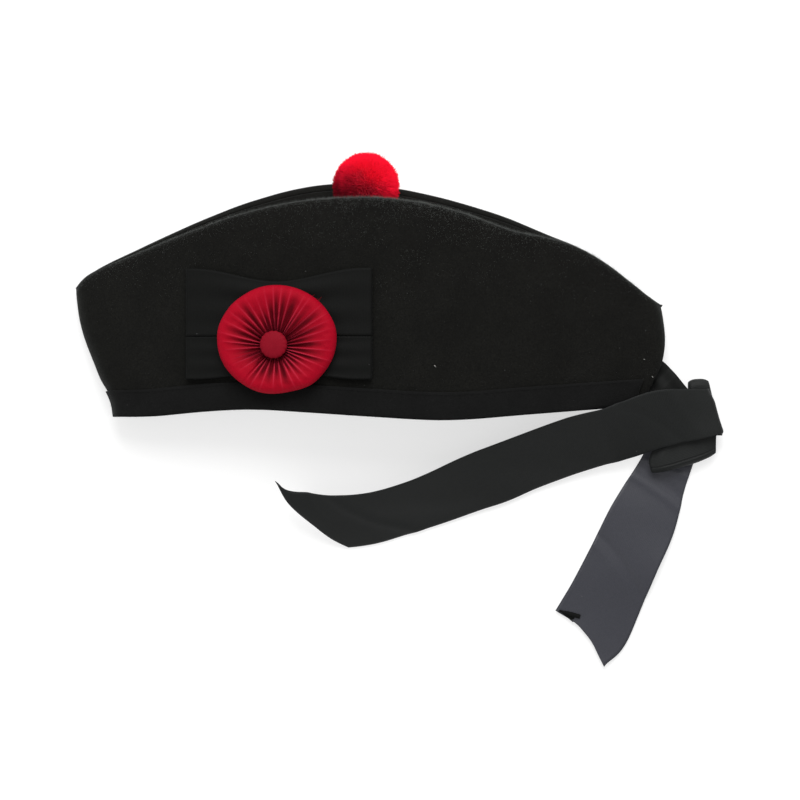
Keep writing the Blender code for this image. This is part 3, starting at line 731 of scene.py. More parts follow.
points_round = GATHERS * POINTS_A_GATHER
turns = [2 * math.pi * k / points_round for k in range(points_round)]
rings = [[rosette_point(turn, along) for turn in turns] for along in shares(SECTION_STEPS)]
rosette = extrude_rings("gathered_rosette", rings)


def store_values(piece, name, values):
    """Keeps one number for each point of a piece, for its material to read."""
    attribute = piece.data.attributes.new(name, "FLOAT", "POINT")
    attribute.data.foreach_set("value", np.asarray(values, np.float32))


def turn_and_radius(point):
    """The turn and the share of the radius at which a point of the rosette lies."""
    x = (point.x - COCKADE_X) / (ROSETTE_LENGTH / 2)
    y = (point.y - COCKADE_Y) / (ROSETTE_WIDTH / 2)
    radius = math.hypot(x, y)
    for _ in range(6):
        apart = 1 - min(radius, 1)
        from_middle = Vector((x + GATHER_FORWARD * apart / (ROSETTE_LENGTH / 2),
                              y + GATHER_DROP * apart / (ROSETTE_WIDTH / 2)))
        radius = from_middle.length
    return math.atan2(from_middle.y, from_middle.x), min(radius, 1)


rosette_places = [turn_and_radius(vert.co) for vert in rosette.data.vertices]
# Each point keeps its gather depth for painted shade and its ridge line for a painted highlight.
store_values(rosette, "gather", [gather_fall(*place) / 0.0018 for place in rosette_places])
store_values(rosette, "ridge", [painted_ridge_highlight(*place) for place in rosette_places])
print("rosette has", len(rosette.data.polygons), "faces in", GATHERS, "gathers")

# %% [markdown]
# The red ribbon has a soft shine and fine ribs that run out from the middle, so the ribs are counted
# round the cockade's centre. Light hardly reaches the bottom of a gather, and the cloth there reads
# as dark crimson, so the depth that was stored on each point darkens the colour as painted shade.
# A pale line stored on top of each ridge lightens it as a painted highlight.
# %% Red ribbon
COCKADE_MIDDLE = (COCKADE_X - GATHER_FORWARD, COCKADE_Y - GATHER_DROP)
# The colour of the painted highlight on the ridges.
RIDGE_HIGHLIGHT_RED = (0.46, 0.034, 0.070)


def make_red_ribbon(name, bright, deep, ribs_round, gathered):
    """Red ribbon ribbed round the cockade's middle, with painted shade in its gathers and a painted highlight
    on its ridges.
    """
    material, tree, shader = new_material(name, 0.6, 0.05, 0.06, 0.35, (1.0, 0.10, 0.22))
    place = add_node(tree, "ShaderNodeTexCoord").outputs["Object"]
    split = add_node(tree, "ShaderNodeSeparateXYZ", {"Vector": place})
    x = maths(tree, "SUBTRACT", split.outputs["X"], COCKADE_MIDDLE[0])
    y = maths(tree, "SUBTRACT", split.outputs["Y"], COCKADE_MIDDLE[1])
    turn = maths(tree, "ARCTAN2", y, x)
    squares = maths(tree, "ADD", maths(tree, "MULTIPLY", x, x), maths(tree, "MULTIPLY", y, y))
    radius = maths(tree, "SQRT", squares)
    ribs = place_group(tree, rib_group, {"Run": turn, "Across": radius},
                       {"Rib": 2 * math.pi / ribs_round, "Thread": 0.00045})
    fibres = place_group(tree, fibre_group, {"Vector": place}, {"Fineness": 1.4})
    shade = spread_over(tree, fibres.outputs["Fibres"], 0.36, 0.66, 0.82, 1.0)
    if gathered:
        # Painted shade in the gathers and a painted highlight on the ridges.
        depth = add_node(tree, "ShaderNodeAttribute", attribute_name="gather").outputs["Fac"]
        lit = maths(tree, "MULTIPLY", spread_over(tree, depth, 0.02, 0.62, 1.0, 0.0), shade)
        ridge = add_node(tree, "ShaderNodeAttribute", attribute_name="ridge").outputs["Fac"]
        cloth = blend_colours(tree, lit, deep, bright)
        colour = blend_colours(tree, maths(tree, "MULTIPLY", ridge, 0.55), cloth, RIDGE_HIGHLIGHT_RED)
    else:
        colour = blend_colours(tree, shade, deep, bright)
    tree.links.new(colour, shader.inputs["Base Color"])
    rib_height = maths(tree, "MULTIPLY", ribs.outputs["Height"], 0.6)
    raise_bumps(tree, shader, maths(tree, "ADD", rib_height, fibres.outputs["Fibres"]), 0.00005)
    return material


red_ribbon = make_red_ribbon("red_ribbon", (0.335, 0.0012, 0.0125), (0.085, 0.0008, 0.0040),
                             ribs_round=560, gathered=True)
covered_red = make_red_ribbon("covered_red", (0.21, 0.0040, 0.0130), (0.12, 0.0022, 0.0075),
                              ribs_round=60, gathered=False)
dress(rosette, red_ribbon, "red_ribbon", "cockade_rosette")
print("red materials:", red_ribbon.name, covered_red.name)

# %% [markdown]
# The button is a flat dome covered with the same cloth, which is pulled under it in small pleats. A
# sphere is pressed flat on its top, its edge is drawn in at each pleat, and it is turned square to the
# panel at the place of its node.
# %% The covered button
BUTTON_WIDTH = 0.0145
BUTTON_HEIGHT = 0.005
BUTTON_PLEATS = 16


def button_point(co):
    """The flat dome's point for a point of a sphere of radius 1."""
    flat = math.hypot(co.x, co.y)
    turn = math.atan2(co.y, co.x)
    pleat = 0.035 * max(math.cos(BUTTON_PLEATS * turn), -0.4) * ease((flat - 0.55) / 0.4)
    up = math.copysign(abs(co.z) ** 0.8, co.z)
    dimple = 0.05 * noise.noise(Vector((co.x * 2.2, co.y * 2.2, 5.0)))
    return Vector((co.x * (1 - pleat * 0.6), co.y * (1 - pleat * 0.6), up * (1 - pleat) + dimple))


button = add_shape("uv_sphere", "covered_button", segments=96, ring_count=40, radius=1)
low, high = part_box("cockade_button")
middle = (low + high) / 2
leaning = (on_panel(middle.x, 0, 1) - on_panel(middle.x, 0, 0)).to_track_quat("Z", "Y").to_matrix()
for vert in button.data.vertices:
    spot = button_point(vert.co)
    spot = Vector((spot.x * BUTTON_WIDTH / 2, spot.y * BUTTON_WIDTH / 2, spot.z * BUTTON_HEIGHT / 2))
    vert.co = middle + leaning @ spot
bpy.ops.object.shade_smooth()
dress(button, covered_red, "red_ribbon", "cockade_button")
print("button middle in mm:", [round(1000 * v, 1) for v in middle])

# %% [markdown]
# Pile, fuzz, loose threads and stitches are each one small shape repeated many times. The shape is
# modelled once, as a cone with three sides, and copied with arrays of places, directions, lengths,
# widths and bends in to one mesh. A fixed seed gives the same fibres each time.
# %% One fibre, copied many times
def model_fibre(name, tip, middle_ring):
    """A fibre of three sides from 0 to 1 along z: its points and its faces."""
    fibre = add_shape("cone", name, vertices=3, radius1=1, radius2=tip, depth=1)
    if middle_ring:
        edit_all(fibre)
        bpy.ops.mesh.bisect(plane_co=(0, 0, 0.05), plane_no=(0, 0, 1))
        end_edit()
    corners = np.array([tuple(vert.co) for vert in fibre.data.vertices]) + (0, 0, 0.5)
    faces = [tuple(face.vertices) for face in fibre.data.polygons]
    bpy.data.objects.remove(fibre)
    return corners, faces


def side_of(headings):
    """A direction square to each heading."""
    helper = np.where(np.abs(headings[:, 2:3]) < 0.8, (0.0, 0.0, 1.0), (1.0, 0.0, 0.0))
    side = np.cross(headings, helper)
    return side / np.linalg.norm(side, axis=1, keepdims=True)


def copy_fibres(name, fibre, starts, headings, lengths, widths, bends):
    """All the fibres as one mesh, each from its start along its heading and bent at its end."""
    corners, faces = fibre
    headings = headings / np.linalg.norm(headings, axis=1, keepdims=True)
    side = side_of(headings)
    other = np.cross(headings, side)
    along = corners[:, 2]
    points = (starts[:, None] + headings[:, None] * (along[None, :, None] * lengths[:, None, None])
              + side[:, None] * (corners[None, :, 0:1] * widths[:, None, None])
              + other[:, None] * (corners[None, :, 1:2] * widths[:, None, None])
              + bends[:, None] * (along ** 2)[None, :, None])
    count = len(corners)
    every_face = [tuple(k + n * count for k in face) for n in range(len(starts)) for face in faces]
    mesh = bpy.data.meshes.new(name)
    mesh.from_pydata(points.reshape(-1, 3).tolist(), [], every_face)
    piece = bpy.data.objects.new(name, mesh)
    bpy.context.scene.collection.objects.link(piece)
    edit_all(piece)
    bpy.ops.mesh.normals_make_consistent(inside=False)
    end_edit()
    return piece


def round_directions(count, draw):
    """Directions spread evenly over a sphere, each moved a little."""
    k = np.arange(count) + 0.5
    up = 1 - 2 * k / count
    turn = k * math.pi * (3 - math.sqrt(5))
    flat = np.sqrt(1 - up ** 2)
    even = np.stack([flat * np.cos(turn), flat * np.sin(turn), up], axis=1)
    moved = even + draw.normal(0, 0.018, even.shape)
    return moved / np.linalg.norm(moved, axis=1, keepdims=True)


wool_strand = model_fibre("wool_strand", 0.45, False)
thread = model_fibre("thread", 0.6, True)
fuzz_hair = model_fibre("fuzz_hair", 0.0, False)
print("a strand has", len(wool_strand[1]), "faces, a hair", len(fuzz_hair[1]), "and a thread", len(thread[1]))

# %% [markdown]
# The toorie is a pompom of red wool, wound, tied and clipped to a dense short pile. Under the pile is
# a round head with painted shade on it, lumpy where the tufts gather, and some twenty-two thousand strands
# stand out of it. The tips share a clipped surface, so their length depends on where they start. Each
# point keeps a tone of painted light and shade and random tone: the colour runs from a painted dark
# crimson shade at a strand's root and low on the toorie to a painted bright red light at the tips above.
# The noise vectors that gather the tips in tufts take a seed too, as they start from the clock without one.
# %% The toorie
STRANDS = 22000
STRAND_WIDTH = 0.00022
HEAD_SHARE = 0.87
ROOT_SHARE = HEAD_SHARE - 0.06
WOOL_IN_PAINTED_SHADE = (0.11, 0.0010, 0.0060)
WOOL_IN_PAINTED_LIGHT = (1.0, 0.0085, 0.0420)
TUFT_SEED = 3

noise.seed_set(TUFT_SEED)
draw = np.random.default_rng(11)
low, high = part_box("toorie")
toorie_middle = (low + high) / 2
toorie_radii = (high - low) / 2


def toorie_shape(direction):
    """The clipped surface in a direction: pressed between the crests below, rounder above them."""
    rise = ease((direction.y + 0.1) / 0.8)
    lump = 0.022 * noise.noise(direction * 2.3) + 0.014 * noise.noise(direction * 6 + Vector((9, 2, 4)))
    swelling = 1 + 0.10 * rise * abs(direction.z)
    size = 1 + lump
    return Vector((direction.x * toorie_radii.x * size, direction.y * toorie_radii.y * size,
                   direction.z * toorie_radii.z * size * swelling))


toorie_head = add_shape("ico_sphere", "toorie_head", subdivisions=5, radius=1)
for vert in toorie_head.data.vertices:
    direction = vert.co.normalized()
    rough = 1 + 0.02 * noise.noise(direction * 14)
    vert.co = toorie_middle + toorie_shape(direction) * HEAD_SHARE * rough
bpy.ops.object.shade_smooth()

directions = round_directions(STRANDS, draw)
surface = np.array([tuple(toorie_shape(Vector(d))) for d in directions])
roots = np.array(tuple(toorie_middle)) + surface * ROOT_SHARE
tips = np.array(tuple(toorie_middle)) + surface * (1.0 + draw.uniform(-0.028, 0.004, (STRANDS, 1)))
tufts = np.array([tuple(noise.noise_vector(Vector(d) * 5.5)) for d in directions]) * 0.0004
tips += tufts + draw.normal(0, 0.00018, tips.shape)
runs = tips - roots
pile = copy_fibres("toorie_pile", wool_strand, roots, runs, np.linalg.norm(runs, axis=1),
                   STRAND_WIDTH * draw.uniform(0.75, 1.2, STRANDS), draw.normal(0, 0.0004, (STRANDS, 3)))


def painted_light_share(ways):
    """Painted light and shade on the wool in each direction: full light above, painted shadow low down and in
    front.
    """
    return np.clip(0.60 + 0.42 * ways[:, 0] + 0.80 * ways[:, 1], 0.10, 1)


clouds = np.array([noise.noise(Vector(d) * 4) for d in directions])
strand_tones = draw.uniform(0.0, 0.16, STRANDS) + 0.12 * clouds
# Painted shade deep in the pile: each strand is darker at its root than at its tip.
painted_root_shade = 0.62 + 0.38 * wool_strand[0][None, :, 2]
painted_light_and_random_tones = painted_root_shade * painted_light_share(directions)[:, None] + strand_tones[:, None]
store_values(pile, "tone", painted_light_and_random_tones.reshape(-1))
head_ways = np.array([tuple((vert.co - toorie_middle).normalized()) for vert in toorie_head.data.vertices])
# The head under the pile is darkened as painted shade.
store_values(toorie_head, "tone", 0.7 * painted_light_share(head_ways))

red_wool, wool_tree, wool_shader = new_material("red_wool", 0.9, 0.08, 0.30, 0.5, (1.0, 0.12, 0.18))
tone = add_node(wool_tree, "ShaderNodeAttribute", attribute_name="tone").outputs["Fac"]
# The colour runs from painted shade to painted light by the stored tone.
wool_colour = blend_colours(wool_tree, spread_over(wool_tree, tone, 0.15, 0.95), WOOL_IN_PAINTED_SHADE, WOOL_IN_PAINTED_LIGHT)
wool_tree.links.new(wool_colour, wool_shader.inputs["Base Color"])
dress(toorie_head, red_wool, "wool", "toorie")
dress(pile, red_wool, "wool", "toorie")
print("toorie pile has", len(pile.data.polygons), "faces")

# %% [markdown]
# Two ribbons come out of the slit at the back and are half knotted beside the cap. One end sweeps
# over the cap's back corner and down to the table on its matte side, and the other lies with its
# shining reverse side up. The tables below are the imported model's own stations: shares of the reach,
# of the ribbon's width and of the knot's height. The left tail narrows a little towards its end, and
# its long corner is drawn out to a point that turns up in a small hook. Small folds and creases are
# pushed off the cloth's surface.
# %% The left tail
RIM_TO_ORIGIN = 0.063
GAP = 0.0003
CAD_CLOTH = 0.001
KNOT_BEHIND = 0.029
KNOT_ABOVE_RIM = 0.0025
KNOT_LENGTH = 0.044
KNOT_THICKNESS = 0.0075
UNDER_KNOT = CAD_CLOTH + 2 * GAP
KNOT_TOP = UNDER_KNOT + KNOT_THICKNESS
LEFT_REACH = 0.236
LEFT_CUT = 0.041
LEFT_STEPS = 170
RIGHT_REACH = 0.130
RIGHT_CUT = -0.017
RIGHT_STEPS = 130
TAIL_COLUMNS = 26
TAIL_WIDER = 0.045
TAIL_FOLD = 0.003
FOLD_ROWS = 14
FOLD_TURNS = (104, 92, 80, 68, 56, 44, 32, 20, 10)
HOOK_FROM = (0.94, 0.38)
HOOK_DRAWN = np.array((-0.0023, -0.0038, 0.0004))
HOOK_TURNED = np.array((0.0012, 0.0027, 0.0016))
Station = namedtuple("Station", "along forward drop lift perch lean wide")
LEFT_TAIL = [
    Station(0.000, 0.000, 0.000, 0.065, 1.0, 2, 0.70),
    Station(0.051, 0.051, 0.006, 0.125, 1.0, 10, 0.78),
    Station(0.119, 0.119, 0.015, 0.235, 1.0, 22, 0.92),
    Station(0.200, 0.200, 0.043, 0.410, 0.4, 35, 1.00),
    Station(0.323, 0.323, 0.081, 0.415, 0.0, 36, 1.00),
    Station(0.504, 0.504, 0.150, 0.355, 0.0, 35, 1.00),
    Station(0.686, 0.686, 0.215, 0.345, 0.0, 40, 1.00),
    Station(0.777, 0.777, 0.241, 0.335, 0.0, 38, 1.00),
    Station(0.867, 0.867, 0.249, 0.310, 0.0, 34, 1.00),
    Station(0.958, 0.958, 0.235, 0.290, 0.0, 30, 1.00),
    Station(1.000, 1.018, 0.208, 0.310, 0.0, 28, 1.00),
]
RIGHT_TAIL = [
    Station(0.00, 0.000, 0.000, 0.018, 0.0, 0, 0.70),
    Station(0.18, 0.075, 0.168, 0.019, 0.0, 0, 0.82),
    Station(0.34, 0.139, 0.315, 0.080, 0.0, 2, 0.98),
    Station(0.52, 0.213, 0.470, 0.105, 0.0, -2, 1.00),
    Station(0.70, 0.290, 0.623, 0.060, 0.0, 2, 1.01),
    Station(0.84, 0.352, 0.746, 0.040, 0.0, 0, 1.03),
    Station(1.00, 0.424, 0.854, 0.065, 0.0, -2, 1.05),
]
tail_fold_place = Vector((CAP_LENGTH / 2 + KNOT_BEHIND, KNOT_ABOVE_RIM - RIM_TO_ORIGIN, 0))


def seated(forward, down):
    """A place by the left tail's fold, forward in ribbon widths and down in knot lengths."""
    return tail_fold_place + Vector((-forward * RIBBON_WIDTH, -down * KNOT_LENGTH, 0))


def tail_centre(rows, start, reach, t):
    """The middle of a tail at a share along it."""
    lift = RIBBON_WIDTH * smooth_along(rows, "lift", t) + KNOT_TOP * smooth_along(rows, "perch", t)
    forward, drop = smooth_along(rows, "forward", t), smooth_along(rows, "drop", t)
    return start + Vector((-reach * forward, -reach * drop, lift))


def tail_across(rows, start, reach, t):
    """The direction across a tail, square to its run and leaning as its stations say."""
    step = 0.01
    ahead = tail_centre(rows, start, reach, min(t + step, 1))
    run = ahead - tail_centre(rows, start, reach, max(t - step, 0))
    flat = Vector((run.y, -run.x, 0)).normalized()
    lean = math.radians(smooth_along(rows, "lean", t))
    return flat * math.cos(lean) + Vector((0, 0, math.sin(lean)))


def tail_rows(rows, start, reach, cut, hollow, steps):
    """Rows of points along a tail, whose end is cut off at a slant and a little hollow."""
    grid = []
    for along in shares(steps):
        row = []
        for s in shares(TAIL_COLUMNS):
            share = s - 0.5
            slant = abs(cut) / reach * (0.5 - share if cut > 0 else 0.5 + share)
            t = along * (1 - slant - hollow * (1 - 4 * share * share))
            wide = (1 + TAIL_WIDER * ease((t - 0.12) / 0.12)) * smooth_along(rows, "wide", t)
            across = tail_across(rows, start, reach, t) * RIBBON_WIDTH * wide
            row.append(tail_centre(rows, start, reach, t) + across * share)
        grid.append(row)
    return grid


def crease(share, across, at, slant, width, depth):
    """A small fold across a ribbon: how high it stands at a share along and across."""
    return depth * math.exp(-((share - at - slant * (across - 0.5)) / width) ** 2)


def left_folds(t, s):
    """Folds of the left tail: slow waves and a few creases across it, most of them near the knot."""
    low = 0.0005 * noise.noise(Vector((t * 9, s * 2.0, 1.5)))
    folds = low + crease(t, s, 0.12, 0.06, 0.018, 0.0007) + crease(t, s, 0.19, 0.11, 0.014, -0.0006)
    folds += crease(t, s, 0.30, -0.04, 0.02, 0.0004) + crease(t, s, 0.86, 0.05, 0.02, 0.0005)
    return -folds


def curl_tip(table):
    """Draws the long corner of a cut end out to a point and turns its last bit up in a small hook."""
    t_from, s_from = HOOK_FROM
    rows, columns = table.shape[:2]
    for row, t in zip(table, shares(rows - 1)):
        for point, s in zip(row, shares(columns - 1)):
            near = ease((t - t_from) / (1 - t_from)) * ease((s - s_from) / (1 - s_from))
            point += HOOK_DRAWN * near + HOOK_TURNED * near ** 10


left_start = tail_fold_place - Vector((TAIL_FOLD, 0, 0))
left_grid = tail_rows(LEFT_TAIL, left_start, LEFT_REACH, LEFT_CUT, -0.005, LEFT_STEPS)
for k, row in enumerate(left_grid):
    t = k / LEFT_STEPS
    near_fold = 1 - ease(k / FOLD_ROWS)
    narrowed = 0.05 * ease((t - 0.55) / 0.12)
    raised = 0.0008 * ease((t - 0.22) / 0.1) * (1 - ease((t - 0.5) / 0.12)) - 0.0004 * ease((t - 0.62) / 0.1)
    middle = (row[0] + row[-1]) / 2
    for point, s in zip(row, shares(TAIL_COLUMNS)):
        share = s - 0.5
        corner = 0.0014 * ease((share - 0.20) / 0.30) + 0.0015 * ease((-share - 0.40) / 0.10)
        point += (middle - point) * narrowed
        point.y += raised
        point.x -= (0.0046 * share - 0.0006 + corner) * near_fold
folded_under = []
for turn in map(math.radians, FOLD_TURNS):
    shift = Vector((TAIL_FOLD * math.sin(turn), 0, TAIL_FOLD * (math.cos(turn) - 1)))
    folded_under.append([point + shift for point in left_grid[0]])
under_tip = [point + Vector((-0.0015, 0, -0.55 * TAIL_FOLD)) for point in folded_under[0]]
left_table = push_out([under_tip] + folded_under + left_grid, left_folds)
curl_tip(left_table)
left_tail = cloth_grid("left_tail_cloth", left_table)
dress(left_tail, black_ribbon, "ribbon", "tail_left")
print("left tail has", len(left_tail.data.polygons), "faces")

# %% [markdown]
# The right tail comes from under the knot, with a few cross folds where it is squeezed and a soft
# crease across its middle. Its outer edge is a little full, and its cut end is hollow. The end's near
# corner has turned over in a flap and rolled up, with the ribbon's dark matte side out, darker still by
# painted shade.
# %% The right tail
RightCrease = namedtuple("RightCrease", "at slant width depth")
RIGHT_CREASES = [
    RightCrease(0.07, 0.05, 0.012, 0.0007),
    RightCrease(0.12, 0.03, 0.013, -0.0006),
    RightCrease(0.17, -0.04, 0.014, 0.0008),
    RightCrease(0.23, -0.02, 0.018, -0.0005),
    RightCrease(0.60, -0.10, 0.020, 0.0007),
    RightCrease(0.66, -0.10, 0.020, -0.0004),
]


def right_folds(t, s):
    low = 0.0005 * noise.noise(Vector((t * 6, s * 1.6, 8.5)))
    return sum((crease(t, s, *row) for row in RIGHT_CREASES), low)


right_grid = tail_rows(RIGHT_TAIL, seated(0.59, 0.39), RIGHT_REACH, RIGHT_CUT, 0.026, RIGHT_STEPS)
for k, row in enumerate(right_grid):
    t = k / RIGHT_STEPS
    full = 0.0026 * ease((t - 0.45) / 0.4) * (1 - ease((t - 0.80) / 0.20) ** 2)
    outward = (row[0] - row[-1]).normalized()
    end = ease((t - 0.9) / 0.1)
    for point, s in zip(row, shares(TAIL_COLUMNS)):
        point += outward * full * (1 - s)
        point += Vector((-0.0010, -0.0022, 0)) * end * ease((s - 0.55) / 0.45)
        point.y += 0.0018 * ease((t - 0.8) / 0.2) + 0.0012 * end * math.exp(-((s - 0.3) / 0.16) ** 2)
right_table = push_out(right_grid, right_folds)
right_table[:, :, 2] = np.maximum(right_table[:, :, 2], RIBBON_CLOTH * 0.6)
right_tail = cloth_grid("right_tail_cloth", right_table)
# The right tail shows the satin reverse, whose light base colour is partly a painted reflection.
dress(right_tail, satin_back, "satin_back", "tail_right")

CURL_STEPS = 40
CURL_TURNS = 2
CURL_COLUMNS = 40
FLAP_COLUMNS = 10
CURL_WALL = 0.0002
curl_start = Vector(right_table[-1, TAIL_COLUMNS - 1]) + Vector((0.0008, 0.0008, 0.0008))
curl_run = Vector((0.0112, -0.0032, 0.0002))
flap_heading = Vector((0.25, -0.97, 0))
curl_rows = []
for t in shares(CURL_STEPS):
    radius = 0.0005 + 0.0006 * ease(t * 1.6)
    reach = 0.0046 * min(t / 0.55, 1) * (1 - ease((t - 0.55) / 0.25))
    below = Vector((0, 0, 0.75 * radius - 0.0004))
    turned = [flap_heading * reach * (1 - m / FLAP_COLUMNS) - below for m in range(FLAP_COLUMNS)]
    for j in range(CURL_COLUMNS + 1):
        turn = 2 * math.pi * CURL_TURNS * j / CURL_COLUMNS - math.pi / 2
        spot = Vector((-0.27 * math.cos(turn), -math.cos(turn), math.sin(turn)))
        turned.append(spot * radius * (1 - 0.0072 * j))
    curl_rows.append([curl_start + curl_run * t + spot for spot in turned])
corner_curl = cloth_grid("right_tail_curl", curl_rows, CURL_WALL)
# The curl takes the black ribbon's darker copy: painted shade on its matte side.
dress(corner_curl, bow_ribbon_painted_shade, "ribbon")
print("right tail has", len(right_tail.data.polygons), "faces")

# %% [markdown]
# The half knot is one turn of ribbon pulled flat round the others. Seen from above it is a bump past
# the upper edge of the left tail and a band of cloth that shows under its lower edge. The ribbon's
# root comes out of the slit close under the felt, climbs on to the knot and goes under the left tail.
# %% The knot and the ribbon's root
KNOT_ALONG = math.radians(97)
KNOT_ACROSS = math.radians(15)
KNOT_TAPER_REACH = 0.71
KNOT_FLAT = 40
KNOT_ROUND = 10
KNOT_COLUMNS = 22
KNOT_MIDDLE = UNDER_KNOT + KNOT_THICKNESS / 2 - 0.0002


def flat_heading(turn):
    return Vector((math.cos(turn), math.sin(turn), 0))


def knot_rows():
    """Rows of points round the knot's loop, which narrows upwards and is pressed flat at its sides."""
    along = flat_heading(KNOT_ALONG)
    length, height = KNOT_LENGTH - RIBBON_CLOTH, KNOT_THICKNESS - CAD_CLOTH
    rows = []
    for run, rise in loop_outline(length, height, KNOT_FLAT, KNOT_ROUND):
        up = ease(run / (KNOT_TAPER_REACH * KNOT_LENGTH) + 0.5)
        left, right = -0.5 + 0.70 * up, 0.57 + 0.03 * up
        across = flat_heading(KNOT_ACROSS + math.radians(2 - 14 * up))
        run *= 0.96 + 0.23 * up
        row = []
        for s in shares(KNOT_COLUMNS):
            share = left + (right - left) * s
            corner = abs(run) / (KNOT_LENGTH / 2) * abs(2 * s - 1) ** 3
            share -= 0.07 * max(corner - 0.45, 0) * math.copysign(1, 2 * s - 1)
            fold = 0.0005 * math.sin(9 * s + run * 120)
            fold += 0.0004 * noise.noise(Vector((s * 4, run * 80, rise * 300)))
            pressed = 1 - 0.72 * ease((abs(2 * s - 1) - 0.62) / 0.38)
            level = KNOT_MIDDLE + rise * (1 + 0.06 * math.sin(7 * s)) * pressed + fold * 0.5
            row.append(seated(0.58, 0.20) + along * run * (1 - 0.11 * corner)
                       + across * share * RIBBON_WIDTH + Vector((0, 0, level)))
        rows.append(row)
    return rows + [rows[0]]


knot = cloth_grid("knot_cloth", knot_rows())
dress(knot, black_ribbon, "ribbon", "ribbon_knot")

ROOT_STEPS = 60
ROOT_COLUMNS = 16
ROOT_INSIDE = 0.452
ROOT_RISE = 0.28
ROOT_LEVEL = 0.56
CREST_HEIGHT = 0.115
root_start = Vector((CAP_LENGTH * ROOT_INSIDE, CREST_HEIGHT * ROOT_RISE - RIM_TO_ORIGIN, 0))
root_run = seated(0.43, -0.05) - root_start
root_across = Vector((-root_run.y, root_run.x, 0)).normalized()
root_rows = []
for t in shares(ROOT_STEPS):
    centre = root_start + root_run * t
    climb = ease((t - 0.42) / 0.17)
    centre.z = (1 - climb) * panel_top(centre.x) * ROOT_LEVEL + climb * (KNOT_TOP + GAP + CAD_CLOTH / 2)
    near_half = 0.20 + 0.055 * ease((t - 0.12) / 0.24)
    far_half = 0.20 + 0.048 * ease((t - 0.12) / 0.24) * (1 - ease((t - 0.4) / 0.5))
    root_rows.append([centre + root_across * (s * (near_half + far_half) - near_half) * RIBBON_WIDTH
                      for s in shares(ROOT_COLUMNS)])
root_table = push_out(root_rows, lambda t, s: 0.00035 * math.sin(14 * s + 3 * t) * (1 - 0.6 * t))
root = cloth_grid("root_cloth", root_table)
# The root takes a darker copy of the black ribbon: painted shade, as it lies close under the felt.
dress(root, root_ribbon_painted_shade, "ribbon", "ribbon_root")
print("knot and root have", len(knot.data.polygons), "and", len(root.data.polygons), "faces")

# %% [markdown]
# A felt edge is never a clean line: fibres stand off it and catch the light, most of all along the
# rolled crest. Short hairs are scattered over the felt, many on the crests and folds and few on the
# flats, and each leans well over, as brushed nap does. Longer ones stand in patches on the upper
# crest's lit side, most of them near the toorie, and their pale colour is a painted highlight.
# %% Fuzz on the felt
def scatter_on(piece, count, weigh, draw):
    """Random points on a piece's faces, and their normals, more where weigh(centres, normals) says."""
    mesh = piece.data
    mesh.calc_loop_triangles()
    corners = np.array([tuple(vert.co) for vert in mesh.vertices])
    triangles = np.array([tuple(triangle.vertices) for triangle in mesh.loop_triangles])
    a, b, c = (corners[triangles[:, k]] for k in range(3))
    square = np.cross(b - a, c - a)
    area = np.linalg.norm(square, axis=1)
    normals = square / np.maximum(area[:, None], 1e-12)
    weight = area * weigh((a + b + c) / 3, normals)
    picked = draw.choice(len(area), count, p=weight / weight.sum())
    u, v = draw.random((2, count, 1))
    over = (u + v) > 1
    u, v = np.where(over, 1 - u, u), np.where(over, 1 - v, v)
    points = a[picked] + (b - a)[picked] * u + (c - a)[picked] * v
    return points, normals[picked]


def crest_weight(centres, normals):
    """Many hairs where the felt turns over at its crest and folds, few on the flat, none inside."""
    turned = np.clip(1 - np.abs(normals[:, 2]), 0, 1)
    outside = np.where(np.abs(centres[:, 2] - 0.022) < 0.003, 0.3, 1.0)
    return (0.10 + 1.6 * turned ** 1.5) * outside * (centres[:, 2] > 0.0009)


FUZZ = {"side_left": 13000, "side_right": 6000, "crown": 6000, "rim_band": 2500}
HAIR_ROOT = 0.00005
draw = np.random.default_rng(23)
starts, leans, lengths = [], [], []
for node_name, count in FUZZ.items():
    points, normals = scatter_on(felt_pieces[node_name], count, crest_weight, draw)
    lean = normals * 0.85 + draw.normal(0, 0.9, (count, 3))
    lean[:, 2] = np.where(points[:, 2] < 0.0018, np.abs(lean[:, 2]), lean[:, 2])
    starts.append(points - normals * HAIR_ROOT)
    leans.append(lean)
    lengths.append(draw.uniform(0.0003, 0.0011, count))
starts, leans, lengths = (np.concatenate(part) for part in (starts, leans, lengths))
fuzz = copy_fibres("felt_fuzz", fuzz_hair, starts, leans, lengths,
                   draw.uniform(0.000014, 0.000028, len(starts)), draw.normal(0, 0.0002, starts.shape))


def roll_weight(centres, normals):
    """Only where the upper panel rolls over at its crest, most of all on its outer side, which faces the
    light and takes the painted highlight.
    """
    patchy = 0.40 + np.clip([1.1 * noise.noise(Vector(spot) * 330) for spot in centres], 0, 1)
    by_toorie = 0.42 + np.exp(-((centres[:, 0] - 0.024) / 0.052) ** 2)
    rolled = np.clip(normals[:, 1], 0, 1) ** 0.7 * (centres[:, 2] > 0.012) * (centres[:, 1] > 0)
    return rolled * patchy * by_toorie


CREST_HAIRS = 24000
points, normals = scatter_on(felt_pieces["side_left"], CREST_HAIRS, roll_weight, draw)
crest_fuzz = copy_fibres("crest_fuzz", fuzz_hair, points - normals * HAIR_ROOT,
                         normals * 0.9 + (0, 0.2, 0.5) + draw.normal(0, 0.55, (CREST_HAIRS, 3)),
                         draw.uniform(0.0005, 0.0018, CREST_HAIRS),
                         draw.uniform(0.000016, 0.000030, CREST_HAIRS),
                         draw.normal(0, 0.0003, (CREST_HAIRS, 3)))
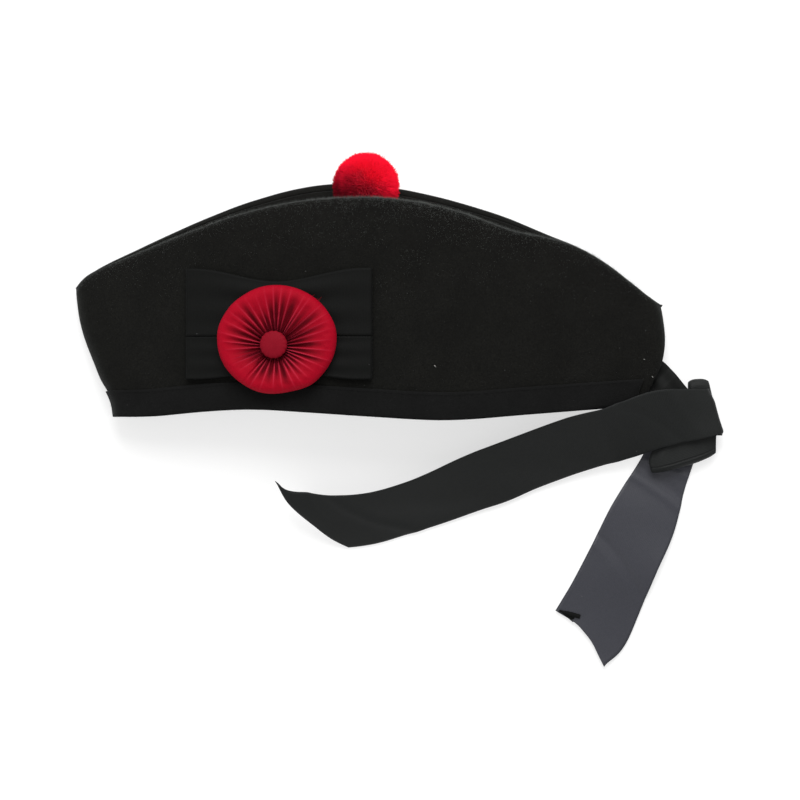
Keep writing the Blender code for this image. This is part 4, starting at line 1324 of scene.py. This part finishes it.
# Painted highlight: the crest hairs are pale where the light catches the rolled crest.
painted_nap_highlight, _, nap_shader = new_material("painted_nap_highlight", 0.8, 0.2, 0.4, 0.4, (0.9, 0.95, 0.93))
set_values(nap_shader, {"Base Color": (0.105, 0.112, 0.106, 1)})
dress(crest_fuzz, painted_nap_highlight, "felt")
fuzz_wool, fuzz_tree, fuzz_shader = new_material("fuzz_wool", 0.8, 0.3, 0.5, 0.4, (0.9, 0.95, 0.93))
place = add_node(fuzz_tree, "ShaderNodeTexCoord").outputs["Object"]
patches = add_node(fuzz_tree, "ShaderNodeTexNoise", {"Vector": place}, {"Scale": 900.0, "Detail": 1.0})
fuzz_share = spread_over(fuzz_tree, patches.outputs["Fac"], 0.4, 0.65)
fuzz_colour = blend_colours(fuzz_tree, fuzz_share, (0.010, 0.010, 0.009), (0.075, 0.080, 0.076))
fuzz_tree.links.new(fuzz_colour, fuzz_shader.inputs["Base Color"])
dress(fuzz, fuzz_wool, "felt")
print("fuzz has", len(fuzz.data.polygons), "faces, the crest", len(crest_fuzz.data.polygons))

# %% [markdown]
# The last things are small. A row of black machine stitches holds the binding, a few threads have
# come loose at the cockade's edge, and three pale specks of lint lie on the cap.
# %% Stitches, loose threads and lint
Rim = namedtuple("Rim", "along rise")
RIMS = [
    Rim(0.064, 0.010),
    Rim(0.130, 0.012),
    Rim(0.200, 0.031),
    Rim(0.300, 0.045),
    Rim(0.400, 0.031),
    Rim(0.500, 0.013),
    Rim(0.630, -0.004),
    Rim(0.770, 0.023),
    Rim(0.967, 0.063),
]
BAND_HEIGHT = 0.0135
STITCH = 0.0024
STITCH_PITCH = 0.0033
STITCH_THICK = 0.00022
STITCHES_BELOW_TOP = 0.0016
FIRST_STITCH = -0.132
LAST_STITCH = 0.138
ABOVE_CAP = 0.2
STRAIGHT_DOWN = Vector((0, 0, -1))


def on_binding(x, above_rim):
    """The binding's outside at x, a distance above the rim."""
    y = smooth_along(RIMS, "rise", x / CAP_LENGTH + 0.5) * CREST_HEIGHT - RIM_TO_ORIGIN + above_rim
    hit, spot, normal, _ = felt_pieces["rim_band"].ray_cast(Vector((x, y, ABOVE_CAP)), STRAIGHT_DOWN)
    return (spot, normal) if hit else (None, None)


def on_felt(x, y):
    """The place on the upper panel, or on the binding, straight below a point."""
    hits = [felt_pieces[name].ray_cast(Vector((x, y, ABOVE_CAP)), STRAIGHT_DOWN)
            for name in ("side_left", "rim_band")]
    return max((spot for hit, spot, _, _ in hits if hit), key=lambda spot: spot.z)


stitch_starts, stitch_runs = [], []
x = FIRST_STITCH
while x < LAST_STITCH:
    first, normal = on_binding(x, BAND_HEIGHT - STITCHES_BELOW_TOP)
    second, _ = on_binding(x + STITCH, BAND_HEIGHT - STITCHES_BELOW_TOP)
    if first and second:
        stitch_starts.append(tuple(first + normal * STITCH_THICK * 0.3))
        stitch_runs.append(tuple(second - first))
    x += STITCH_PITCH
stitch_starts, stitch_runs = np.array(stitch_starts), np.array(stitch_runs)
stitches = copy_fibres("binding_stitches", model_fibre("stitch", 0.8, True), stitch_starts, stitch_runs,
                       np.linalg.norm(stitch_runs, axis=1), np.full(len(stitch_runs), STITCH_THICK),
                       np.tile((0, 0, -0.00005), (len(stitch_runs), 1)))
dress(stitches, black_binding, "binding")

draw = np.random.default_rng(5)
FRAY = 7
fray_turns = math.radians(48) + draw.uniform(-0.14, 0.14, FRAY)
fray_starts = np.array([tuple(rosette_point(turn, 0.84 + 0.05 * draw.random())) for turn in fray_turns])
fray_runs = np.stack([np.cos(fray_turns + draw.normal(0, 0.7, FRAY)),
                      np.sin(fray_turns + draw.normal(0, 0.7, FRAY)),
                      draw.uniform(-0.1, 0.3, FRAY)], axis=1)
fray = copy_fibres("cockade_fray", thread, fray_starts, fray_runs, draw.uniform(0.0010, 0.0024, FRAY),
                   np.full(FRAY, 0.00005), draw.normal(0, 0.0006, (FRAY, 3)))
dress(fray, red_ribbon, "red_ribbon")
# The loose threads take a little of the gathers' painted shade and none of the ridges' painted highlight.
store_values(fray, "gather", np.full(len(fray.data.vertices), 0.15))
store_values(fray, "ridge", np.zeros(len(fray.data.vertices)))

Lint = namedtuple("Lint", "x y length")
LINT = [
    Lint(0.0339, -0.0356, 0.0013),
    Lint(0.1462, -0.0321, 0.0004),
    Lint(0.1508, -0.0413, 0.0007),
]
lint_starts = np.array([tuple(on_felt(spot.x, spot.y) + Vector((0, 0, 0.0001))) for spot in LINT])
speck = copy_fibres("lint_speck", thread, lint_starts, np.array([(0.5, -0.8, 0.1)] * len(LINT)),
                    np.array([spot.length for spot in LINT]), np.full(len(LINT), 0.00012),
                    np.array([(0.0003, 0, 0.0001)] * len(LINT)))
pale_lint, _, lint_shader = new_material("pale_lint", 0.9, 0.1, 0.2, 0.5, (1, 1, 1))
set_values(lint_shader, {"Base Color": (0.40, 0.40, 0.38, 1)})
dress(speck, pale_lint, "felt")
print("stitches:", len(stitch_runs), "loose threads:", FRAY, "specks of lint:", len(LINT))

# %% [markdown]
# At the end, nothing is left in edit mode and nothing is selected. Cloth may stand a little proud of
# its solid but the cap may not grow.
# %% Finish
start_alone()
